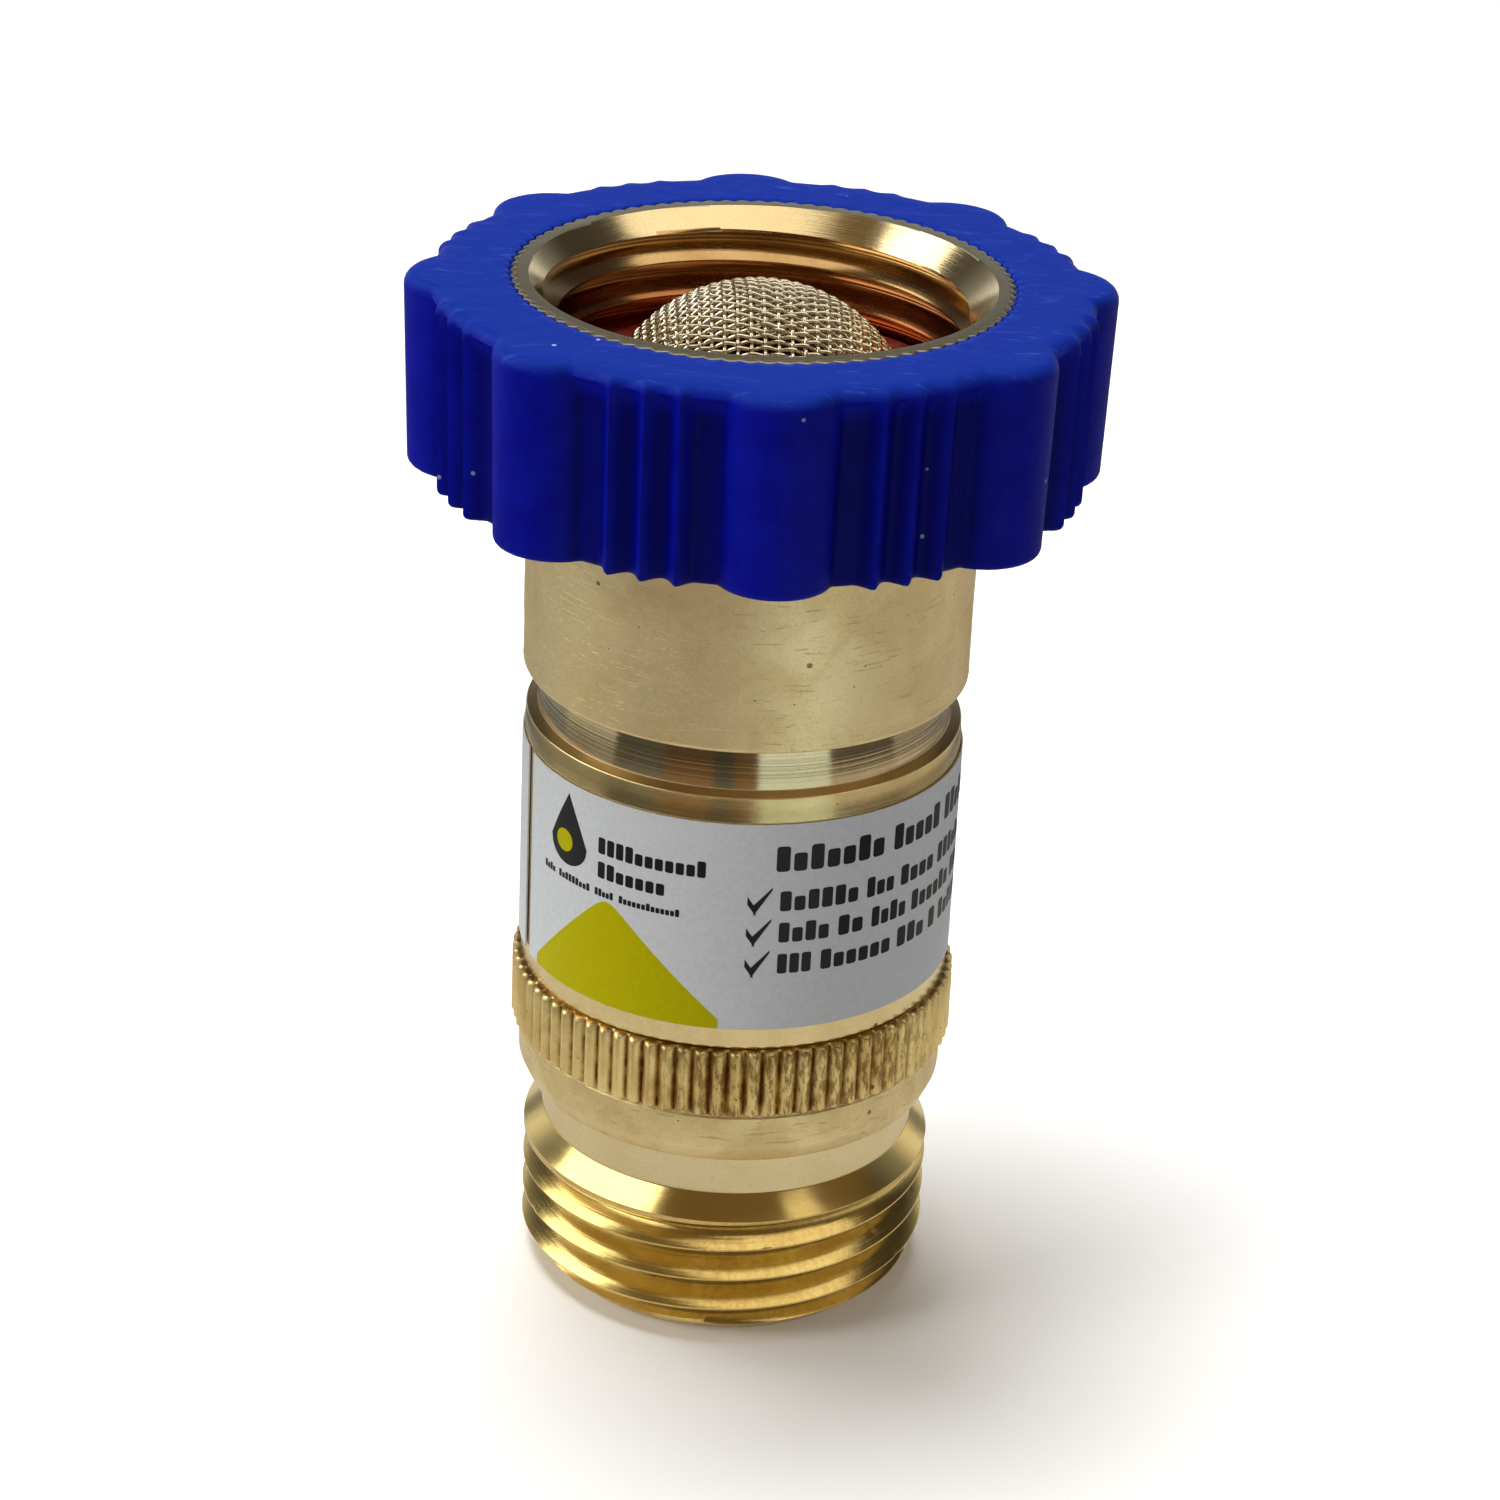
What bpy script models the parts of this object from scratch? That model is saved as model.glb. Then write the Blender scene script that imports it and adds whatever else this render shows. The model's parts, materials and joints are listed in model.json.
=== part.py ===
"""Inline water pressure regulator with a swivel hose inlet and a screened gasket.

The object stands on its outlet end at z = 0 with the flow axis along Z.  Water
enters at the top through the swivel nut, passes the domed screen and the ported
seat carrier, runs down through the hollow piston and leaves at the bottom.  A
spring pushes the piston down, away from the seat disc; outlet pressure under the
wide piston head pushes it up, until the stem's edge closes on the seat disc.

Sizes below are millimetres; the meshes are built in metres.
"""
import math

import bmesh
import bpy

MM = 0.001

# Facets round the axis.
SEGMENTS = 36
SMALL_SEGMENTS = 24

# Garden hose thread, 3/4-11.5 NH.
THREAD_PITCH = 25.4 / 11.5
THREAD_FLAT = THREAD_PITCH / 8
MALE_MAJOR_RADIUS = 13.3
MALE_THREAD_DEPTH = 1.43
FEMALE_MINOR_RADIUS = 12.3
FEMALE_THREAD_DEPTH = 1.36
THREAD_RUN_OUT = 1.6

# Outlet body, from its end face up.
OUTLET_BORE_RADIUS = 8.75
BORE_CHAMFER = 0.4
END_FACE_RADIUS = 11.3
END_CHAMFER_SLOPE = 1.1
THREAD_TOP = 9.24
NECK_RADIUS = 12.1
NECK_BOTTOM = 10.68
BAND_BOTTOM = 13.76
BAND_RADIUS = 13.75
BAND_CORNER = 0.85
KNURL_BOTTOM = 17.33
KNURL_TOP = 22.0
KNURL_TIP_RADIUS = 14.3
KNURL_ROOT_RADIUS = 13.85
KNURL_TEETH = 80
KNURL_SINK = 0.6
SPIGOT_RADIUS = 12.3
SPIGOT_TOP = 27.5
SPIGOT_CHAMFER = 0.3
PISTON_BORE_RADIUS = 10.2
PISTON_STOP = 18.5

# Grooves as (radius of the floor, bottom, top).
BODY_SEAL_GROOVE = (11.15, 24.4, 25.9)
PISTON_SEAL_GROOVE = (8.6, 20.6, 23.0)
STEM_SEAL_GROOVE = (2.9, 44.75, 46.25)
CARRIER_RING_GROOVE = (9.0, 53.25, 54.15)
SWIVEL_RING_GROOVE = (9.7, 56.75, 57.55)

# Inlet body: barrel, turned groove, forged cylinder and the spigot for the nut.
BODY_GAP = 0.05
BARREL_BOTTOM = KNURL_TOP + BODY_GAP
BARREL_CHAMFER = 0.2
BARREL_RADIUS = 13.75
BARREL_BORE_RADIUS = 12.4
BARREL_TOP = 38.2
BARREL_CONE_TOP = 39.35
GROOVE_RADIUS = 12.96
GROOVE_BOTTOM = 39.45
GROOVE_TOP = 42.3
CYLINDER_RADIUS = 13.95
CYLINDER_TOP = 54.9
CYLINDER_CHAMFER = 0.4
INLET_SPIGOT_RADIUS = 10.3
INLET_SPIGOT_TOP = 57.9
INLET_BORE_RADIUS = 8.4
CARRIER_LEDGE = 50.2
INLET_CHAMBER_RADIUS = 7.2
WEB_TOP = 48.0
WEB_BOTTOM = 43.0
STEM_BORE_RADIUS = 4.1
BUSH_SEAT_TOP = 44.4
BUSH_SEAT_RADIUS = 5.25
SPRING_CHAMBER_RADIUS = 10.6
SPRING_CHAMBER_BOTTOM = 28.0
VENT_RADIUS = 0.8
VENT_HEIGHT = 40.9
VENT_OVERSHOOT = 2.0

# Label wrapped round the barrel, with the bare strip left between its two ends.
LABEL_BOTTOM = 23.55
LABEL_TOP = 37.6
LABEL_INNER_RADIUS = 13.8
LABEL_OUTER_RADIUS = 13.92
LABEL_GAP_CENTRE = -160.0
LABEL_GAP = 4.0

# Swivel nut and the grip collar moulded round it.
NUT_BOTTOM = 55.3
NUT_TOP = 67.4
NUT_RADIUS = 15.22
NUT_CHAMFER = 0.5
NUT_LIP_RADIUS = 10.6
NUT_LIP_TOP = 56.7
NUT_THREAD_BOTTOM = 58.4
NUT_MOUTH_RADIUS = 14.1
COLLAR_BOTTOM = 55.2
COLLAR_BORE_RADIUS = 15.3
COLLAR_CHAMFER = 0.5
COLLAR_ROUNDING = 0.8
LOBES = 8
FRONT_LOBE_ANGLE = -85.7
LOBE_CENTRE_RADIUS = 18.0
LOBE_ROUND_RADIUS = 3.57
RIDGE_RADIUS = 20.4
RIDGE_SPACING = 6.0
SCALLOP_DEPTH = 0.75
FLUTE_END_SHARE = 0.35
FLUTE_FADE_START = 2.2
# Angles from a lobe's middle at which the collar's outline is sampled.
COLLAR_OFFSETS = (-19.5, -16.5, -13.5, -9.6, -6.5, -3.3, 0, 3.3, 6.5, 9.6, 13.5, 16.5, 19.5, 22.5)

# Screen: a gasket with a rebate, a crimped rim and a domed mesh.
GASKET_RADIUS = 12.0
GASKET_BORE_RADIUS = 8.6
GASKET_BOTTOM = INLET_SPIGOT_TOP + 0.05
GASKET_TOP = 60.9
REBATE_RADIUS = 10.5
REBATE_BOTTOM = 60.1
RIM_RADIUS = 10.45
RIM_BOTTOM = 60.15
RIM_TOP = 60.85
RIM_SHEET = 0.2
RIM_CHANNEL_RADIUS = 10.2
RIM_LOWER_LIP_RADIUS = 9.4
RIM_UPPER_LIP_RADIUS = 9.6
DOME_FLANGE_RADIUS = 10.15
DOME_RADIUS = 10.0
DOME_APEX = 66.8
DOME_THICKNESS = 0.25
DOME_FLANGE_BOTTOM = 60.4
DOME_FLANGE_TOP = 60.6

# Seat carrier with its ports, rubber disc, screw and retaining ring.
CARRIER_RADIUS = 8.3
CARRIER_BOTTOM = 50.25
CARRIER_TOP = 53.2
CARRIER_HOLE_RADIUS = 1.0
CARRIER_RECESS_RADIUS = 4.1
CARRIER_RECESS_TOP = 51.9
PORTS = 8
PORT_RADIUS = 1.15
PORT_CIRCLE_RADIUS = 5.9
DISC_RADIUS = 4.0
DISC_HOLE_RADIUS = 1.05
DISC_BOTTOM = 50.62
DISC_TOP = 51.85
SCREW_RADIUS = 0.9
SCREW_HEAD_RADIUS = 1.8
SCREW_FACE_RADIUS = 1.4
SCREW_CHAMFER_TOP = 50.2
SCREW_HEAD_BOTTOM = 49.9
SCREW_HEAD_TOP = 50.55
SCREW_TOP = 53.1
CARRIER_RING_RADII = (7.5, 8.85)
SWIVEL_RING_RADII = (9.8, 11.4)
SNAP_RING_START = 110
SNAP_RING_SWEEP = 320
SNAP_RING_STEPS = 28

# Spring between the shim and the piston head, and the bush that guides the stem.
SPRING_BOTTOM = 25.55
SPRING_TOP = 41.4
SPRING_STEPS_PER_TURN = 16
SPRING_MEAN_RADIUS = 7.6
WIRE_RADIUS = 0.9
SPRING_TURNS = 5.0
CLOSED_PITCH = 1.9
SHIM_INNER_RADIUS = 4.6
SHIM_OUTER_RADIUS = 9.5
SHIM_BOTTOM = 41.45
SHIM_TOP = 42.05
BUSH_BORE_RADIUS = 4.03
BUSH_FLANGE_RADIUS = 6.2
BUSH_SLEEVE_RADIUS = 5.2
BUSH_BOTTOM = 42.1
BUSH_FLANGE_TOP = 42.95
BUSH_TOP = 44.3

# Piston.
PISTON_RADIUS = 10.0
PISTON_BOTTOM = 18.55
PISTON_CHAMFER = 0.4
PISTON_HEAD_TOP = 25.5
STEM_RADIUS = 3.95
STEM_BORE = 1.9
STEM_TAPER_BOTTOM = 47.6
STEM_TIP = 49.1
STEM_TIP_RADIUS = 2.8
STEM_MOUTH_RADIUS = 2.5
STEM_MOUTH_BOTTOM = 47.8
STEM_MOUTH_CONE_BOTTOM = 47.2

# O-rings as (centre radius, height, cord radius).
STEM_O_RING = (3.47, 45.5, 0.54)
PISTON_O_RING = (9.38, 21.8, 0.74)
BODY_O_RING = (11.77, 25.15, 0.58)
O_RING_SIDES = 6

# Finishes: base colour, roughness, metallic.
TURNED_BRASS = ((0.72, 0.56, 0.30), 0.22, 1.0)
FORGED_BRASS = ((0.52, 0.44, 0.28), 0.55, 1.0)
BLUE_PLASTIC = ((0.01, 0.03, 0.42), 0.45, 0.0)
WHITE_VINYL = ((0.85, 0.85, 0.84), 0.40, 0.0)
STAINLESS = ((0.62, 0.60, 0.55), 0.30, 1.0)
SPRING_STEEL = ((0.45, 0.45, 0.46), 0.35, 1.0)
BLACK_RUBBER = ((0.02, 0.02, 0.02), 0.70, 0.0)
RED_RUBBER = ((0.30, 0.02, 0.01), 0.60, 0.0)
WHITE_ACETAL = ((0.80, 0.79, 0.75), 0.45, 0.0)


def clear_scene():
    for item in list(bpy.data.objects):
        bpy.data.objects.remove(item, do_unlink=True)


def polar(radius, angle, height):
    """A point in metres from a radius, an angle in degrees and a height."""
    turn = math.radians(angle)
    return (radius * math.cos(turn) * MM, radius * math.sin(turn) * MM, height * MM)


def finish_object(name, shape, finish):
    """Store a bmesh as a named object with its own material, round faces smooth."""
    bmesh.ops.remove_doubles(shape, verts=shape.verts, dist=1e-7)
    bmesh.ops.recalc_face_normals(shape, faces=shape.faces)
    mesh = bpy.data.meshes.new(name)
    shape.to_mesh(mesh)
    shape.free()
    mesh.shade_smooth()
    mesh.set_sharp_from_angle(angle=math.radians(35))
    item = bpy.data.objects.new(name, mesh)
    bpy.context.collection.objects.link(item)
    if finish:
        colour, roughness, metallic = finish
        material = bpy.data.materials.new(name + "_finish")
        material.use_nodes = True
        shader = material.node_tree.nodes["Principled BSDF"]
        shader.inputs["Base Color"].default_value = (*colour, 1.0)
        shader.inputs["Roughness"].default_value = roughness
        shader.inputs["Metallic"].default_value = metallic
        mesh.materials.append(material)
    return item


def add_ring(shape, radius, height, segments):
    """A ring of vertices round the axis, or one vertex on it."""
    if radius == 0:
        return [shape.verts.new(polar(0, 0, height))]
    step = 360 / segments
    return [shape.verts.new(polar(radius, i * step, height)) for i in range(segments)]


def join_rings(shape, first, second):
    """The wall between two rings; a ring of one vertex makes a fan."""
    if len(first) == 1 and len(second) == 1:
        return
    count = max(len(first), len(second))
    for i in range(count):
        k = (i + 1) % count
        corners = [first[i % len(first)], first[k % len(first)]]
        corners += [second[k % len(second)], second[i % len(second)]]
        unique = list(dict.fromkeys(corners))
        shape.faces.new(unique)


def join_threaded(shape, low_ring, high_ring, bottom, top, radius_at):
    """A right-hand screw thread between two rings.

    radius_at(height, cut) gives the radius, cut being 0 on a crest and 1 in a
    groove.  Rows follow the helix, so a row's end meets the row one pitch above.
    Rows that leave the threaded stretch fold onto its end rings and merge there.
    """
    flank = (THREAD_PITCH - 2 * THREAD_FLAT) / 2
    stations = ((0, 0), (THREAD_FLAT, 0), (THREAD_FLAT + flank, 1))
    stations += ((2 * THREAD_FLAT + flank, 1),)
    per_turn = len(stations)
    segments = len(low_ring)
    count = per_turn * (2 + math.ceil((top - bottom) / THREAD_PITCH))
    rows = [low_ring]
    for row in range(1, count):
        offset, cut = stations[row % per_turn]
        start = bottom + (row // per_turn - 1) * THREAD_PITCH + offset
        ring = []
        for i in range(segments):
            height = min(max(start + THREAD_PITCH * i / segments, bottom), top)
            ring.append(shape.verts.new(polar(radius_at(height, cut), 360 * i / segments, height)))
        rows.append(ring)
    rows.append(high_ring)
    for row in range(count):
        for i in range(segments - 1):
            low, high = rows[row], rows[row + 1]
            shape.faces.new((low[i], low[i + 1], high[i + 1], high[i]))
        wrap_low = rows[min(row + per_turn, count)][0]
        wrap_high = rows[min(row + 1 + per_turn, count)][0]
        corners = (rows[row][-1], wrap_low, wrap_high, rows[row + 1][-1])
        if wrap_low is not wrap_high:
            shape.faces.new(corners)
        else:
            shape.faces.new(corners[:2] + corners[3:])


def turned(name, outline, finish, segments=SEGMENTS, thread_after=None, radius_at=None):
    """A body turned about Z from a closed outline of (radius, height) points.

    The wall from point thread_after to the next one becomes a screw thread.
    """
    shape = bmesh.new()
    rings = [add_ring(shape, radius, height, segments) for radius, height in outline]
    for index, ring in enumerate(rings):
        after = (index + 1) % len(rings)
        if index != thread_after:
            join_rings(shape, ring, rings[after])
            continue
        low, high = sorted((index, after), key=lambda k: outline[k][1])
        ends = (rings[low], rings[high], outline[low][1], outline[high][1])
        join_threaded(shape, *ends, radius_at)
    return finish_object(name, shape, finish)


def swept_arc(name, section, finish, start, sweep, steps):
    """A closed section of (radius, height) points swept part of a turn, with ends."""
    shape = bmesh.new()
    slices = []
    for i in range(steps + 1):
        angle = start + sweep * i / steps
        slices.append([shape.verts.new(polar(r, angle, z)) for r, z in section])
    for first, second in zip(slices, slices[1:]):
        join_rings(shape, first, second)
    shape.faces.new(slices[0])
    shape.faces.new(slices[-1])
    return finish_object(name, shape, finish)


def o_ring(name, size):
    """A rubber ring of round section, from its centre radius, height and cord radius."""
    centre_radius, height, cord_radius = size
    section = []
    for i in range(O_RING_SIDES):
        turn = math.tau * i / O_RING_SIDES
        section.append((centre_radius + cord_radius * math.cos(turn),
                        height + cord_radius * math.sin(turn)))
    return turned(name, section, BLACK_RUBBER)


def boolean(item, cutter, operation):
    """Combine an object with a helper that is itself left out of the model."""
    cutter.hide_render = True
    cutter.display_type = "WIRE"
    cutter.hide_set(True)
    change = item.modifiers.new(cutter.name, "BOOLEAN")
    change.operation = operation
    change.solver = "EXACT"
    change.object = cutter


def rods(name, places, radius, low, high, sides=12):
    """Helper rods along Z at a list of (x, y) places."""
    shape = bmesh.new()
    for x, y in places:
        ends = []
        for height in (low, high):
            ring = []
            for i in range(sides):
                turn = math.tau * i / sides
                ring.append(shape.verts.new(((x + radius * math.cos(turn)) * MM,
                                             (y + radius * math.sin(turn)) * MM, height * MM)))
            ends.append(ring)
        join_rings(shape, ends[0], ends[1])
        shape.faces.new(ends[0])
        shape.faces.new(ends[1])
    return finish_object(name, shape, None)


def male_radius(height, cut):
    """Hose thread of the outlet: chamfered at the end, run out under the cone."""
    run_out = min(1, (THREAD_TOP - height) / THREAD_RUN_OUT)
    thread = MALE_MAJOR_RADIUS - MALE_THREAD_DEPTH * cut * run_out
    return min(thread, END_FACE_RADIUS + END_CHAMFER_SLOPE * height)


def female_radius(height, cut):
    """Hose thread of the nut: coned at the mouth, run out above the gasket."""
    run_out = min(1, (height - NUT_THREAD_BOTTOM) / THREAD_RUN_OUT)
    thread = FEMALE_MINOR_RADIUS + FEMALE_THREAD_DEPTH * cut * run_out
    return max(thread, NUT_MOUTH_RADIUS - (NUT_TOP - height))


def outlet_body():
    groove_radius, groove_low, groove_high = BODY_SEAL_GROOVE
    outline = [
        (OUTLET_BORE_RADIUS, BORE_CHAMFER), (OUTLET_BORE_RADIUS + BORE_CHAMFER, 0),
        (END_FACE_RADIUS, 0), (MALE_MAJOR_RADIUS, THREAD_TOP),
        (NECK_RADIUS, NECK_BOTTOM), (NECK_RADIUS, BAND_BOTTOM),
        (BAND_RADIUS - BAND_CORNER, BAND_BOTTOM), (BAND_RADIUS, BAND_BOTTOM + BAND_CORNER),
        (BAND_RADIUS, KNURL_TOP),
        (SPIGOT_RADIUS, KNURL_TOP), (SPIGOT_RADIUS, groove_low),
        (groove_radius, groove_low), (groove_radius, groove_high),
        (SPIGOT_RADIUS, groove_high), (SPIGOT_RADIUS, SPIGOT_TOP - SPIGOT_CHAMFER),
        (SPIGOT_RADIUS - SPIGOT_CHAMFER, SPIGOT_TOP),
        (PISTON_BORE_RADIUS + SPIGOT_CHAMFER, SPIGOT_TOP),
        (PISTON_BORE_RADIUS, SPIGOT_TOP - SPIGOT_CHAMFER),
        (PISTON_BORE_RADIUS, PISTON_STOP), (OUTLET_BORE_RADIUS, PISTON_STOP),
    ]
    body = turned("outlet_body", outline, FORGED_BRASS, thread_after=2, radius_at=male_radius)
    knurl = bmesh.new()
    inner = BAND_RADIUS - KNURL_SINK
    levels = ((inner, KNURL_BOTTOM), (None, KNURL_BOTTOM), (None, KNURL_TOP), (inner, KNURL_TOP))
    rings = []
    for radius, height in levels:
        ring = []
        for i in range(2 * KNURL_TEETH):
            reach = radius or (KNURL_TIP_RADIUS if i % 2 else KNURL_ROOT_RADIUS)
            ring.append(knurl.verts.new(polar(reach, 180 * i / KNURL_TEETH, height)))
        rings.append(ring)
    for index, ring in enumerate(rings):
        join_rings(knurl, ring, rings[(index + 1) % len(rings)])
    boolean(body, finish_object("knurl_ring", knurl, None), "UNION")


def inlet_body():
    carrier_ring_radius, carrier_ring_low, carrier_ring_high = CARRIER_RING_GROOVE
    swivel_ring_radius, swivel_ring_low, swivel_ring_high = SWIVEL_RING_GROOVE
    outline = [
        (BARREL_BORE_RADIUS, BARREL_BOTTOM), (BARREL_RADIUS - BARREL_CHAMFER, BARREL_BOTTOM),
        (BARREL_RADIUS, BARREL_BOTTOM + BARREL_CHAMFER), (BARREL_RADIUS, BARREL_TOP),
        (BARREL_RADIUS - BARREL_CHAMFER, BARREL_CONE_TOP), (GROOVE_RADIUS, GROOVE_BOTTOM),
        (GROOVE_RADIUS, GROOVE_TOP), (CYLINDER_RADIUS, GROOVE_TOP),
        (CYLINDER_RADIUS, CYLINDER_TOP - CYLINDER_CHAMFER),
        (CYLINDER_RADIUS - CYLINDER_CHAMFER, CYLINDER_TOP), (INLET_SPIGOT_RADIUS, CYLINDER_TOP),
        (INLET_SPIGOT_RADIUS, swivel_ring_low), (swivel_ring_radius, swivel_ring_low),
        (swivel_ring_radius, swivel_ring_high), (INLET_SPIGOT_RADIUS, swivel_ring_high),
        (INLET_SPIGOT_RADIUS, INLET_SPIGOT_TOP), (INLET_BORE_RADIUS, INLET_SPIGOT_TOP),
        (INLET_BORE_RADIUS, carrier_ring_high), (carrier_ring_radius, carrier_ring_high),
        (carrier_ring_radius, carrier_ring_low), (INLET_BORE_RADIUS, carrier_ring_low),
        (INLET_BORE_RADIUS, CARRIER_LEDGE), (INLET_CHAMBER_RADIUS, CARRIER_LEDGE),
        (INLET_CHAMBER_RADIUS, WEB_TOP), (STEM_BORE_RADIUS, WEB_TOP),
        (STEM_BORE_RADIUS, BUSH_SEAT_TOP), (BUSH_SEAT_RADIUS, BUSH_SEAT_TOP),
        (BUSH_SEAT_RADIUS, WEB_BOTTOM), (SPRING_CHAMBER_RADIUS, WEB_BOTTOM),
        (SPRING_CHAMBER_RADIUS, SPRING_CHAMBER_BOTTOM),
        (BARREL_BORE_RADIUS, SPRING_CHAMBER_BOTTOM),
    ]
    body = turned("inlet_body", outline, FORGED_BRASS)
    drill_start = SPRING_CHAMBER_RADIUS - VENT_OVERSHOOT
    drill_end = GROOVE_RADIUS + VENT_OVERSHOOT
    drill = rods("vent_drill", [(0, 0)], VENT_RADIUS, drill_start, drill_end)
    drill.rotation_euler = (math.radians(-90), 0, 0)
    drill.location = (0, 0, VENT_HEIGHT * MM)
    boolean(body, drill, "DIFFERENCE")


def label():
    section = [(LABEL_INNER_RADIUS, LABEL_BOTTOM), (LABEL_OUTER_RADIUS, LABEL_BOTTOM),
               (LABEL_OUTER_RADIUS, LABEL_TOP), (LABEL_INNER_RADIUS, LABEL_TOP)]
    start = LABEL_GAP_CENTRE + LABEL_GAP / 2
    swept_arc("label", section, WHITE_VINYL, start, 360 - LABEL_GAP, 2 * SEGMENTS)


def swivel_nut():
    outline = [
        (NUT_LIP_RADIUS, NUT_BOTTOM), (NUT_RADIUS - NUT_CHAMFER, NUT_BOTTOM),
        (NUT_RADIUS, NUT_BOTTOM + NUT_CHAMFER), (NUT_RADIUS, NUT_TOP),
        (NUT_MOUTH_RADIUS, NUT_TOP), (FEMALE_MINOR_RADIUS, NUT_THREAD_BOTTOM),
        (FEMALE_MINOR_RADIUS, NUT_LIP_TOP), (NUT_LIP_RADIUS, NUT_LIP_TOP),
    ]
    turned("swivel_nut", outline, TURNED_BRASS, thread_after=4, radius_at=female_radius)


def grip_radius(angle, flute_share):
    """Outer radius of the collar: round lobes with three ridges between shallow flutes."""
    sector = 360 / LOBES
    from_lobe = (angle - FRONT_LOBE_ANGLE + sector / 2) % sector - sector / 2
    turn = math.radians(from_lobe)
    reach = LOBE_ROUND_RADIUS ** 2 - (LOBE_CENTRE_RADIUS * math.sin(turn)) ** 2
    lobe = LOBE_CENTRE_RADIUS * math.cos(turn) + math.sqrt(max(reach, 0))
    from_ridge = min(sector / 2 - abs(from_lobe), 1.5 * RIDGE_SPACING)
    flute = SCALLOP_DEPTH * abs(math.sin(math.pi * from_ridge / RIDGE_SPACING))
    return max(lobe, RIDGE_RADIUS - flute_share * flute)


def grip_collar():
    sector = 360 / LOBES
    angles = [FRONT_LOBE_ANGLE + lobe * sector + offset
              for lobe in range(LOBES) for offset in COLLAR_OFFSETS]
    corner = COLLAR_ROUNDING * (1 - math.sqrt(0.5))
    levels = ((-COLLAR_CHAMFER, COLLAR_BOTTOM, 1), (0, COLLAR_BOTTOM + COLLAR_CHAMFER, 1),
              (0, NUT_TOP - FLUTE_FADE_START, 1),
              (0, NUT_TOP - COLLAR_ROUNDING, FLUTE_END_SHARE),
              (-corner, NUT_TOP - corner, FLUTE_END_SHARE),
              (-COLLAR_ROUNDING, NUT_TOP, FLUTE_END_SHARE))
    shape = bmesh.new()
    rings = []
    for inset, height, flute_share in levels:
        rings.append([shape.verts.new(polar(grip_radius(a, flute_share) + inset, a, height))
                      for a in angles])
    for height in (NUT_TOP, COLLAR_BOTTOM):
        rings.append([shape.verts.new(polar(COLLAR_BORE_RADIUS, a, height)) for a in angles])
    for index, ring in enumerate(rings):
        join_rings(shape, ring, rings[(index + 1) % len(rings)])
    finish_object("grip_collar", shape, BLUE_PLASTIC)


def dome_arc(radius, base_height, centre_height, steps=6):
    """Points of a sphere's outline from its apex down to a height."""
    last = math.acos((base_height - centre_height) / radius)
    points = []
    for i in range(steps + 1):
        tilt = last * i / steps
        points.append((radius * math.sin(tilt), centre_height + radius * math.cos(tilt)))
    return points


def screen():
    gasket = [(GASKET_BORE_RADIUS, GASKET_BOTTOM), (GASKET_RADIUS, GASKET_BOTTOM),
              (GASKET_RADIUS, GASKET_TOP), (REBATE_RADIUS, GASKET_TOP),
              (REBATE_RADIUS, REBATE_BOTTOM), (GASKET_BORE_RADIUS, REBATE_BOTTOM)]
    turned("screen_gasket", gasket, RED_RUBBER)
    rim = [(RIM_LOWER_LIP_RADIUS, RIM_BOTTOM), (RIM_RADIUS, RIM_BOTTOM),
           (RIM_RADIUS, RIM_TOP), (RIM_UPPER_LIP_RADIUS, RIM_TOP),
           (RIM_UPPER_LIP_RADIUS, RIM_TOP - RIM_SHEET),
           (RIM_CHANNEL_RADIUS, RIM_TOP - RIM_SHEET),
           (RIM_CHANNEL_RADIUS, RIM_BOTTOM + RIM_SHEET),
           (RIM_LOWER_LIP_RADIUS, RIM_BOTTOM + RIM_SHEET)]
    turned("screen_rim", rim, STAINLESS)
    centre = DOME_APEX - DOME_RADIUS
    outside = dome_arc(DOME_RADIUS, DOME_FLANGE_TOP, centre)
    inside = dome_arc(DOME_RADIUS - DOME_THICKNESS, DOME_FLANGE_BOTTOM, centre)
    flange = [(DOME_FLANGE_RADIUS, DOME_FLANGE_TOP), (DOME_FLANGE_RADIUS, DOME_FLANGE_BOTTOM)]
    turned("screen_mesh", outside + flange + inside[::-1], STAINLESS)


def snap_ring(name, radii, groove):
    """A split ring lying in a groove, a little thinner than the groove is high."""
    inner, outer = radii
    low, high = groove[1] + BODY_GAP, groove[2] - BODY_GAP
    section = [(inner, low), (outer, low), (outer, high), (inner, high)]
    sweep = (SNAP_RING_START, SNAP_RING_SWEEP, SNAP_RING_STEPS)
    swept_arc(name, section, SPRING_STEEL, *sweep)


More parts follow.
